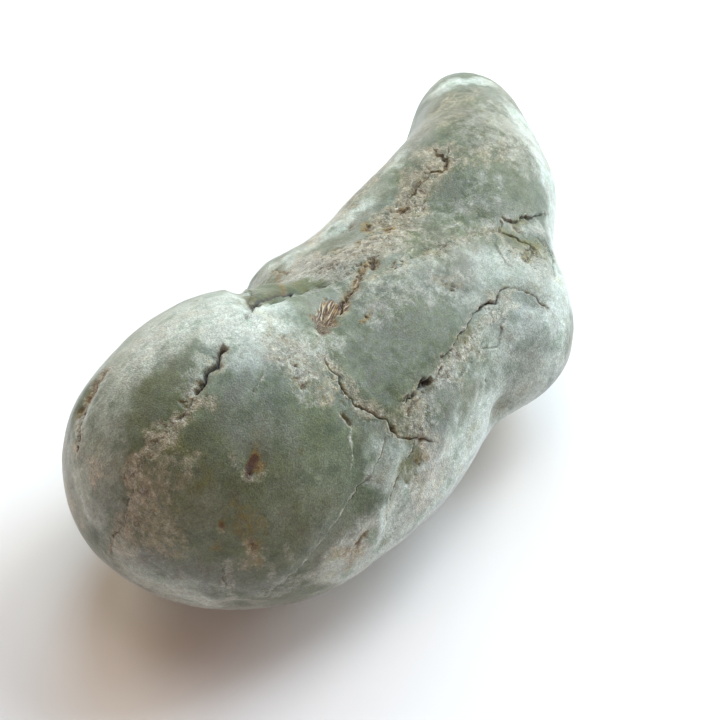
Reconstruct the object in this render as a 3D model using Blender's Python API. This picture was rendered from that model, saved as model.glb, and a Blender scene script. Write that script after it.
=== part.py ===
# Raw jadeite cobble: one water-worn stone, bent like a boot, about 105 mm long.
# Frame in metres, +Z up. +X runs along the stone from its broad end to its narrow tip, and the
# origin lies on the resting plane, under the middle of the stone's box. Sizes below are in mm.

import math

import bmesh
import bpy
import numpy as np
from mathutils import Vector, noise
from mathutils.bvhtree import BVHTree

MM = 0.001
STONE_NAME = "jade_boulder"

# The swellings that make up the stone: centre, half-sizes, turn about Z in degrees.
MASSES = {
    "near_lobe": ((-31.2, 5.8, 20.8), (21.8, 18.7, 18.8), 0),
    "left_end": ((-37.4, 15.8, 16.4), (10.0, 8.2, 12.0), 0),
    "near_foot": ((-32.0, 0.2, 14.3), (13.6, 14.8, 12.9), 0),
    "lower_flank": ((-18.1, -6.0, 17.0), (22.0, 15.9, 14.3), -10),
    "middle": ((-5.2, -3.8, 19.5), (17.0, 12.5, 13.5), 0),
    "shoulder": ((7.7, -15.0, 16.4), (12.8, 10.9, 10.9), 30),
    "neck": ((23.9, -3.1, 18.0), (15.0, 12.0, 12.0), 15),
    "back_ridge": ((12.0, 6.3, 17.0), (19.5, 6.2, 9.0), -14),
    "tail": ((35.5, 2.4, 15.0), (12.0, 9.0, 10.0), 22),
    "tip": ((44.5, 7.9, 13.4), (8.6, 6.7, 7.6), 30),
    "nub": ((-2.4, 14.4, 17.2), (3.9, 3.6, 4.0), 0),
    "belly": ((12.5, -3.4, 11.0), (14.0, 9.5, 11.4), 0),
}
MASS_BLEND = 3.0  # how softly the swellings run together
FLOOR_BLEND = 0.6  # rounding where the worn underside leaves the resting plane
HULL_EXTRA = 2.0  # the rough hull is this much fatter than the masses before it settles
HULL_VOXEL = 2.8  # spacing of the smooth skin
SETTLE_STEPS = 14
SETTLE_SHARE = 0.5  # how far each point moves towards its neighbours in one step
TOUCH_UP_STEPS = 3
TOUCH_UP_SHARE = 0.4
WAVES = ((15.0, 0.55), (6.5, 0.2))  # gentle water-worn waves: wavelength, height

# Features are drawn on a sheet and thrown onto the skin from an eye point. Sheet points are
# (across, up) in mm, from the sheet's middle.
SHEETS = {
    "front": {"middle": (-9.0, -2.0, 19.0), "heading": 28.0, "down": 50.0, "eye": 275.0},
    "back": {"middle": (0.0, 0.0, 18.0), "heading": -90.0, "down": 15.0, "eye": 275.0},
}

# Cracks and ledges. Walking along a route with the stone's outside up, "left" and "right" say
# how far that side stands proud, and "fade" how far the rise reaches from the line.
CRACKS = {
    "cleft": {
        "sheet": "front", "width": 2.0, "depth": 2.4, "left": -1.0, "right": 0.3, "fade": 3.5,
        "route": [(-16.2, 8.3), (-14.6, 7.3), (-11.0, 8.4), (-6.9, 9.9), (-2.1, 10.9)],
    },
    "upper_fissure": {
        "sheet": "front", "width": 1.6, "depth": 1.1, "left": -0.5, "right": 0.5, "fade": 3.5,
        "route": [(-5.5, 4.5), (-3.9, 4.7), (-2.1, 7.6), (0.0, 10.0), (4.3, 12.2), (9.6, 14.6),
                  (12.4, 16.5), (15.8, 17.5), (19.0, 17.6)],
    },
    "top_crack": {
        "sheet": "front", "width": 1.5, "depth": 0.9, "left": 0.0, "right": 0.0, "fade": 2.0,
        "route": [(11.4, 29.6), (12.0, 27.8), (10.6, 26.1), (8.9, 25.0), (7.6, 23.1), (5.8, 20.4)],
    },
    "chip_rim": {
        "sheet": "front", "width": 1.4, "depth": 1.0, "left": 0.4, "right": -0.5, "fade": 2.5,
        "route": [(19.2, 17.1), (19.9, 19.5), (25.2, 19.8)],
    },
    "chip_edge": {
        "sheet": "front", "width": 1.2, "depth": 0.9, "left": -0.3, "right": 0.4, "fade": 2.0,
        "route": [(21.3, 16.9), (24.3, 15.5), (23.4, 13.5)],
    },
    "shoulder_fissure": {
        "sheet": "front", "width": 1.7, "depth": 1.4, "left": -0.3, "right": 0.4, "fade": 3.5,
        "route": [(19.9, 9.8), (17.2, 7.6), (15.1, 4.8), (13.1, 1.8), (11.3, -1.4), (8.9, -3.6),
                  (6.9, -5.2), (5.2, -8.0)],
    },
    "shoulder_branch": {
        "sheet": "front", "width": 1.3, "depth": 0.7, "left": 0.3, "right": -0.2, "fade": 3.0,
        "route": [(19.9, 9.8), (22.7, 9.4), (25.9, 7.3)],
    },
    "belly_fissure": {
        "sheet": "front", "width": 1.4, "depth": 0.9, "left": 0.4, "right": -0.2, "fade": 3.5,
        "route": [(-5.2, 0.0), (-2.8, -3.9), (0.0, -6.6), (3.4, -8.5), (6.2, -10.7),
                  (10.3, -11.1)],
    },
    "right_step": {
        "sheet": "front", "width": 1.3, "depth": 0.8, "left": -0.6, "right": 0.5, "fade": 3.5,
        "route": [(8.2, -11.0), (7.2, -13.1), (5.5, -15.8), (4.4, -19.7), (3.9, -22.7),
                  (3.4, -25.4)],
    },
    "fine_ledge": {
        "sheet": "front", "width": 1.1, "depth": 0.3, "left": -0.3, "right": 0.3, "fade": 3.0,
        "route": [(3.7, -10.6), (1.4, -15.1), (-2.1, -20.4), (-4.8, -24.8), (-9.6, -29.8),
                  (-13.8, -32.3)],
    },
    "slit": {
        "sheet": "front", "width": 1.5, "depth": 1.5, "left": 0.0, "right": 0.0, "fade": 2.0,
        "route": [(-18.7, 2.3), (-19.7, 0.3), (-21.3, -2.8), (-22.8, -4.4)],
    },
    "seam": {
        "sheet": "front", "width": 1.4, "depth": 0.4, "left": 0.3, "right": -0.3, "fade": 3.0,
        "route": [(-23.4, -5.5), (-25.4, -8.9), (-27.5, -11.7), (-28.9, -16.5), (-31.4, -19.2),
                  (-32.5, -23.4)],
    },
    "left_groove": {
        "sheet": "front", "width": 2.4, "depth": 1.2, "left": 0.0, "right": 0.0, "fade": 2.0,
        "route": [(-34.8, -1.7), (-36.9, -4.8), (-38.2, -7.6), (-39.1, -11.0)],
    },
    "side_crack": {
        "sheet": "front", "width": 1.3, "depth": 0.8, "left": 0.0, "right": 0.0, "fade": 2.0,
        "route": [(26.5, 15.1), (26.8, 12.7), (27.0, 10.3)],
    },
    "ledge_line": {
        "sheet": "front", "width": 1.1, "depth": 0.3, "left": 0.25, "right": -0.25, "fade": 2.5,
        "route": [(19.9, 5.5), (16.5, 1.4), (14.4, -1.7), (12.4, -4.8)],
    },
    "pale_trough": {
        "sheet": "front", "width": 6.0, "depth": 0.8, "left": 0.0, "right": 0.0, "fade": 2.0,
        "route": [(16.5, -6.9), (13.1, -13.1), (9.6, -19.2)],
    },
    "back_fissure": {
        "sheet": "back", "width": 1.5, "depth": 1.1, "left": 0.4, "right": -0.4, "fade": 3.5,
        "route": [(8.0, -1.0), (12.5, -3.0), (17.0, -2.5), (22.0, -6.0), (28.0, -7.0)],
    },
    "back_ledge": {
        "sheet": "back", "width": 1.3, "depth": 0.6, "left": -0.3, "right": 0.4, "fade": 3.0,
        "route": [(-31.0, -3.5), (-26.0, -5.0), (-20.0, -3.5), (-13.0, -6.0)],
    },
}
CURVE_STEPS = 12  # short straight steps between two corners of a route
ROUTE_STEP = 0.8  # spacing of a route's points once it lies on the skin
LINE_SNAP = 0.55  # skin points this close to a crack's line move onto it, so its bottom stays sharp
END_TAPER = 3.0  # a crack runs out over this length at each end
END_SHARE = 0.15  # share of its depth that a crack keeps at its very end

# Pits and small chips: sheet, place on it, radius, depth.
PITS = {
    "ochre_pit": ("front", (-4.1, 5.8), 2.0, 1.2),
    "upper_pit": ("front", (1.7, 13.6), 1.3, 0.8),
    "back_pit_one": ("front", (3.4, 17.9), 1.2, 0.6),
    "back_pit_two": ("front", (5.8, 20.4), 1.2, 0.6),
    "rust_pit": ("front", (-14.4, -14.0), 1.4, 0.9),
    "low_pit": ("front", (-19.0, -22.4), 1.1, 0.5),
    "foot_chip": ("front", (-16.9, -33.8), 1.6, 0.8),
    "chip_hollow": ("front", (21.6, 16.6), 3.2, 1.0),
    "shoulder_recess": ("front", (19.6, -7.0), 2.6, 1.2),
    "tail_pit": ("back", (-6.0, 7.0), 1.5, 0.7),
}

FINE_BANDS = ((1.4, 1.85), (0.5, 1.15))  # reach from a feature's edge, longest edge left there
WIDEST_FINE = 2.5  # a trough wider than this is smooth, so only its middle gets the fine skin
FLOOR_SNAP = 0.15  # skin this close to the resting plane is worn flat onto it


def unit(vectors):
    return vectors / np.linalg.norm(vectors, axis=-1, keepdims=True)


def ellipsoid_distance(points, centre, radii, turn):
    """Signed distance, near enough, from points to an ellipsoid turned about Z."""
    angle = math.radians(turn)
    c = math.cos(angle)
    s = math.sin(angle)
    local = (points - np.array(centre)) @ np.array([[c, -s, 0], [s, c, 0], [0, 0, 1]])
    scaled = np.linalg.norm(local / np.array(radii), axis=-1)
    slope = np.linalg.norm(local / np.square(radii), axis=-1) + 1e-9
    return scaled * (scaled - 1) / slope


def stone_distance(points):
    """Signed distance to the smooth stone: all masses run together, cut by the resting plane."""
    every = np.stack([ellipsoid_distance(points, *mass) for mass in MASSES.values()], axis=-1)
    nearest = every.min(axis=-1)
    shares = np.exp((nearest[..., None] - every) / MASS_BLEND).sum(axis=-1)
    body = nearest - MASS_BLEND * np.log(shares)
    under = -points[..., 2]
    mix = np.clip(0.5 + 0.5 * (body - under) / FLOOR_BLEND, 0, 1)
    return under + (body - under) * mix + FLOOR_BLEND * mix * (1 - mix)


def stone_slope(points, reach=0.25):
    steps = np.eye(3) * reach
    sides = [stone_distance(points + step) - stone_distance(points - step) for step in steps]
    return unit(np.stack(sides, axis=-1))


def arrays_of(mesh):
    mesh.calc_loop_triangles()
    points = np.empty(len(mesh.vertices) * 3)
    mesh.vertices.foreach_get("co", points)
    faces = np.empty(len(mesh.loop_triangles) * 3, dtype=np.int32)
    mesh.loop_triangles.foreach_get("vertices", faces)
    return points.reshape(-1, 3), faces.reshape(-1, 3)


def rough_hull():
    """One closed skin wrapped round all the masses, in mm."""
    bm = bmesh.new()
    for centre, radii, turn in MASSES.values():
        ball = bmesh.ops.create_icosphere(bm, subdivisions=4, radius=1)["verts"]
        stretch = Vector([radius + HULL_EXTRA for radius in radii])
        bmesh.ops.scale(bm, vec=stretch, verts=ball)
        angle = math.radians(turn)
        for vert in ball:
            x, y, z = vert.co
            vert.co.x = centre[0] + x * math.cos(angle) - y * math.sin(angle)
            vert.co.y = centre[1] + x * math.sin(angle) + y * math.cos(angle)
            vert.co.z = centre[2] + z
    mesh = bpy.data.meshes.new("rough_hull")
    bm.to_mesh(mesh)
    bm.free()
    hull = bpy.data.objects.new("rough_hull", mesh)
    bpy.context.scene.collection.objects.link(hull)
    wrap = hull.modifiers.new("wrap", "REMESH")
    wrap.mode = "VOXEL"
    wrap.voxel_size = HULL_VOXEL
    graph = bpy.context.evaluated_depsgraph_get()
    wrapped = bpy.data.meshes.new_from_object(hull.evaluated_get(graph))
    bpy.data.objects.remove(hull, do_unlink=True)
    return arrays_of(wrapped)


def relaxed(points, faces, share):
    """Each point moved part of the way to the middle of its neighbours."""
    ends = np.concatenate([faces[:, [0, 1]], faces[:, [1, 2]], faces[:, [2, 0]]])
    total = np.zeros_like(points)
    count = np.zeros(len(points))
    np.add.at(total, ends[:, 0], points[ends[:, 1]])
    np.add.at(count, ends[:, 0], 1)
    return points + share * (total / count[:, None] - points)


def settled(points, faces, steps, share):
    """The skin pulled onto the smooth stone while its triangles even out."""
    for _ in range(steps):
        points = relaxed(points, faces, share)
        points = points - stone_slope(points) * stone_distance(points)[:, None]
    return points


def thrown(sheet, place, tree):
    """Where a sheet point lands on the skin, seen from the sheet's eye."""
    heading = math.radians(sheet["heading"])
    down = math.radians(sheet["down"])
    look = Vector((math.cos(heading) * math.cos(down), math.sin(heading) * math.cos(down),
                   -math.sin(down)))
    across = Vector((math.sin(heading), -math.cos(heading), 0))
    up = across.cross(look)
    middle = Vector(sheet["middle"])
    eye = middle - look * sheet["eye"]
    target = middle + across * place[0] + up * place[1]
    hit = tree.ray_cast(eye, (target - eye).normalized())[0]
    if hit is None:
        raise ValueError(f"the sheet point {place} misses the stone")
    return np.array(hit)


def rounded_route(corners):
    """A smooth curve through the corners, as many short straight steps."""
    ends = [2 * corners[0] - corners[1], *corners, 2 * corners[-1] - corners[-2]]
    curve = []
    for before, start, end, after in zip(ends[:-3], ends[1:-2], ends[2:-1], ends[3:]):
        for t in np.linspace(0, 1, CURVE_STEPS, endpoint=False):
            pull = (end - before) * t + (2 * before - 5 * start + 4 * end - after) * t**2
            curve.append(start + 0.5 * (pull + (3 * start - before - 3 * end + after) * t**3))
    return np.array([*curve, corners[-1]])


def route_on_skin(crack, tree):
    """The crack's route with points every ROUTE_STEP, each one thrown onto the skin."""
    curve = rounded_route(np.array(crack["route"]))
    travelled = np.concatenate([[0], np.cumsum(np.linalg.norm(np.diff(curve, axis=0), axis=1))])
    count = max(3, int(round(travelled[-1] / ROUTE_STEP)) + 1)
    stations = np.linspace(0, travelled[-1], count)
    places = np.stack([np.interp(stations, travelled, curve[:, k]) for k in (0, 1)], axis=-1)
    return np.array([thrown(SHEETS[crack["sheet"]], place, tree) for place in places])


def nearest_on_route(points, normals, line):
    """For each point: the nearest place on the line, its side, and the way along the line."""
    best = np.full(len(points), np.inf)
    place = np.zeros_like(points)
    side = np.zeros(len(points))
    along = np.zeros(len(points))
    travelled = 0.0
    for start, end in zip(line[:-1], line[1:]):
        leg = end - start
        length = np.linalg.norm(leg)
        share = np.clip(((points - start) @ leg) / length**2, 0, 1)
        spot = start + share[:, None] * leg
        distance = np.linalg.norm(points - spot, axis=1)
        nearer = distance < best
        left = np.cross(normals, leg / length)
        best[nearer] = distance[nearer]
        place[nearer] = spot[nearer]
        side[nearer] = np.sign(np.einsum("ij,ij->i", points - spot, left))[nearer]
        along[nearer] = (travelled + share * length)[nearer]
        travelled += length
    return best, place, side, along, travelled


def snapped(points, lines):
    """The skin with its points nearest to each crack's line moved onto that line."""
    for line in lines.values():
        distance, place = nearest_on_route(points, points, line)[:2]
        close = distance < LINE_SNAP
        points[close] = place[close]
    return points


def crack_lift(crack, points, normals, line):
    """Signed displacement that a crack gives each point: its groove and its proud side."""
    distance, _, side, along, length = nearest_on_route(points, normals, line)
    taper = np.clip(np.minimum(along, length - along) / END_TAPER, END_SHARE, 1)
    half = crack["width"] / 2
    across = np.clip(1 - distance / (half * (0.5 + 0.5 * taper)), 0, 1)
    groove = -crack["depth"] * taper * across * (2 - across)
    fade = np.exp(-((distance / crack["fade"]) ** 2))
    proud = np.where(side > 0, crack["left"], crack["right"])
    ramp = np.clip(distance / half, 0, 1)
    return groove + proud * taper * fade * ramp


def near_any_feature(points, lines, pits):
    """Distance from each point to the edge of the nearest crack or pit."""
    nearest = np.full(len(points), np.inf)
    for name, line in lines.items():
        half = min(CRACKS[name]["width"], WIDEST_FINE) / 2
        distance = nearest_on_route(points, points, line)[0] - half
        nearest = np.minimum(nearest, distance)
    for centre, radius, _ in pits:
        distance = np.linalg.norm(points - centre, axis=1) - radius
        nearest = np.minimum(nearest, distance)
    return nearest


def split_face(corners, middles, points):
    """The triangles of a face whose sides may be halved; a side that stays whole has no middle."""
    halved = [middle is not None for middle in middles]
    if not any(halved):
        return [corners]
    if all(halved):
        (a, b, c), (ab, bc, ca) = corners, middles
        return [(a, ab, ca), (ab, b, bc), (ca, bc, c), (ab, bc, ca)]
    if sum(halved) == 1:
        turn = halved.index(True)
    else:
        turn = (halved.index(False) + 1) % 3
    a, b, c = corners[turn:] + corners[:turn]
    ab, bc, _ = middles[turn:] + middles[:turn]
    if sum(halved) == 1:
        return [(a, ab, c), (ab, b, c)]
    to_bc = np.linalg.norm(points[a] - points[bc])
    to_ab = np.linalg.norm(points[c] - points[ab])
    if to_bc < to_ab:
        return [(ab, b, bc), (a, ab, bc), (a, bc, c)]
    return [(ab, b, bc), (a, ab, c), (ab, bc, c)]


def refined(points, faces, lines, pits, reach, longest):
    """Edges that are near a feature and longer than the limit are halved."""
    sides = np.stack([faces, np.roll(faces, -1, axis=1)], axis=-1)
    edges, edge_of = np.unique(np.sort(sides.reshape(-1, 2), axis=1), axis=0, return_inverse=True)
    middles = points[edges].mean(axis=1)
    lengths = np.linalg.norm(points[edges[:, 0]] - points[edges[:, 1]], axis=1)
    chosen = (near_any_feature(middles, lines, pits) < reach) & (lengths > longest)
    middle_of = dict(zip(np.flatnonzero(chosen).tolist(), range(len(points), len(points) + sum(chosen))))
    points = np.concatenate([points, middles[chosen]])
    made = []
    for corners, its_edges in zip(faces.tolist(), edge_of.reshape(-1, 3).tolist()):
        made += split_face(corners, [middle_of.get(edge) for edge in its_edges], points)
    return points, np.array(made)


def waves(points):
    """Gentle ups and downs of a water-worn skin."""
    height = np.zeros(len(points))
    for length, size in WAVES:
        height += size * np.array([noise.noise(Vector(point) / length) for point in points])
    return height


def stone_material():
    """Sage-green jadeite with a dull, frosted, river-worn skin."""
    material = bpy.data.materials.new("raw_jadeite")
    material.use_nodes = True
    shader = material.node_tree.nodes["Principled BSDF"]
    shader.inputs["Base Color"].default_value = (0.30, 0.34, 0.27, 1)
    shader.inputs["Roughness"].default_value = 0.55
    shader.inputs["Metallic"].default_value = 0.0
    material.diffuse_color = (0.30, 0.34, 0.27, 1)
    return material


def build_stone():
    points, faces = rough_hull()
    points = settled(points, faces, SETTLE_STEPS, SETTLE_SHARE)
    tree = BVHTree.FromPolygons(points.tolist(), faces.tolist())
    lines = {name: route_on_skin(crack, tree) for name, crack in CRACKS.items()}
    pits = [(thrown(SHEETS[sheet], place, tree), radius, depth)
            for sheet, place, radius, depth in PITS.values()]
    for reach, longest in FINE_BANDS:
        points, faces = refined(points, faces, lines, pits, reach, longest)
        points = settled(points, faces, TOUCH_UP_STEPS, TOUCH_UP_SHARE)
    points = snapped(points, lines)

    normals = stone_slope(points)
    lift = waves(points)
    for name, line in lines.items():
        lift += crack_lift(CRACKS[name], points, normals, line)
    for centre, radius, depth in pits:
        inside = np.clip(1 - np.linalg.norm(points - centre, axis=1) / radius, 0, 1)
        lift -= depth * inside * (2 - inside)
    on_floor = points[:, 2] < FLOOR_SNAP
    points = points + normals * lift[:, None]
    points[on_floor | (points[:, 2] < FLOOR_SNAP), 2] = 0
    box_middle = (points.min(axis=0) + points.max(axis=0)) / 2
    points[:, :2] -= box_middle[:2]

    mesh = bpy.data.meshes.new(STONE_NAME)
    mesh.from_pydata((points * MM).tolist(), [], faces.tolist())
    mesh.shade_smooth()
    mesh.materials.append(stone_material())
    stone = bpy.data.objects.new(STONE_NAME, mesh)
    bpy.context.scene.collection.objects.link(stone)
    print("moved onto its own middle by", box_middle[:2].round(3), "mm;", len(faces), "triangles")


for old in list(bpy.data.objects):
    bpy.data.objects.remove(old, do_unlink=True)
build_stone()
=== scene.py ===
import math
import bpy
import numpy as np
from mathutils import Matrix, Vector, noise
from mathutils.bvhtree import BVHTree


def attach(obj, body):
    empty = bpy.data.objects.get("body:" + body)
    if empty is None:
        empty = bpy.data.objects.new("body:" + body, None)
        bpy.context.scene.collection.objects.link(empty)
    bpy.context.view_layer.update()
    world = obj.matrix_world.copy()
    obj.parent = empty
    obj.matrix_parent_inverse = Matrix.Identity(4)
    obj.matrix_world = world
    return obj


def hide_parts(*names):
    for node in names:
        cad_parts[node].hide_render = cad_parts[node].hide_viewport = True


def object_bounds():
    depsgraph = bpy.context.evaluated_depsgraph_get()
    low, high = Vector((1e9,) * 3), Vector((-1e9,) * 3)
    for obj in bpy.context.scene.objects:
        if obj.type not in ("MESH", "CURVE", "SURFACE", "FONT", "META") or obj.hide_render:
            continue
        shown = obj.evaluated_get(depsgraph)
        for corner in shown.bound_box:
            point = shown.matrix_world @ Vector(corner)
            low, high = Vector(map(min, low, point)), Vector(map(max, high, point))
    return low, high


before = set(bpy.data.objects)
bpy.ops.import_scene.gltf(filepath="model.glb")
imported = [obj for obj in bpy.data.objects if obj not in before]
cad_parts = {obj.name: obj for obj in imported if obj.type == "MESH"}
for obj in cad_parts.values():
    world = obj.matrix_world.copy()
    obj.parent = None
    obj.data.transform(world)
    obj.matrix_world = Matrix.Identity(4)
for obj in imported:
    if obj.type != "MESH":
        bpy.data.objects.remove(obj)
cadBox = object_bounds()
mm = 0.001
stoneNode = "jade_boulder"
print("frame loaded")


def linearColour(hexCode):
    # sRGB hex to the linear colour that Blender's sockets take
    channels = [int(hexCode[i:i + 2], 16) / 255 for i in (1, 3, 5)]
    return tuple(c / 12.92 if c <= 0.04045 else ((c + 0.055) / 1.055) ** 2.4 for c in channels) + (1,)


camera = {
    "middle": (-9.0, -2.0, 19.0),  # mm, what the lens points at
    "heading": 28.0,               # degrees from +X towards +Y
    "down": 50.0,                  # degrees below the horizon
    "distance": 275.0,             # mm
    "lens": 100.0,                 # mm on a 36 mm sensor
}

# Drawing sheets: places on them are (across, up) in mm from the middle, seen from the eye.
sheets = {
    "front": {"middle": camera["middle"], "heading": 28.0, "down": 50.0, "eye": 275.0},
    "back": {"middle": (0.0, 0.0, 18.0), "heading": -90.0, "down": 15.0, "eye": 275.0},
}


def sheetAxes(sheet):
    heading = math.radians(sheet["heading"])
    down = math.radians(sheet["down"])
    flat = math.cos(down)
    look = Vector((math.cos(heading) * flat, math.sin(heading) * flat, -math.sin(down)))
    across = Vector((math.sin(heading), -math.cos(heading), 0))
    return look, across, across.cross(look)


def placeOnSkin(tree, place, sheetName="front"):
    # where a sight line through a place on a sheet meets the skin
    sheet = sheets[sheetName]
    look, across, up = sheetAxes(sheet)
    middle = Vector(sheet["middle"])
    eye = middle - look * sheet["eye"]
    target = middle + across * place[0] + up * place[1]
    hit = tree.ray_cast(eye, (target - eye).normalized())[0]
    return None if hit is None else np.array(hit)


skin = {
    "voxel": 0.72,        # mm, spacing of the plain skin
    "smoothing": 26,      # rounds that melt the solid's facets away
    "healing": (1.5, 40), # mm and rounds: the solid's plain grooves close before fine ones are cut
    "waves": ((9.0, 0.1), (3.4, 0.05), (1.3, 0.025)),  # mm: wavelength, height
    "crumbs": ((1.1, 0.1), (0.5, 0.09)),  # mm: size and height of the crumbly crust
    "pocks": {"size": 0.5, "depth": 0.42, "start": 0.06},  # mm, ragged holes
    # mm; the fan of fibres opens from a point "spread" away; tufts for each mm along and across
    "needles": {"height": 0.28, "spread": 5.0, "tufts": (0.5, 2.8, 1.0)},
    "drift": 2.4,         # mm, a mark smaller than this wanders less
    # longest edge left in a crack or pit and in each kind of mark, mm
    "edges": {"crack": 0.14, "needle": 0.13, "pock": 0.24, "crust": 0.44, "frost": 0.65,
              "pink": 0.55, "ochre": 0.48, "rust": 0.2, "dark": 0.4},
}

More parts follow.
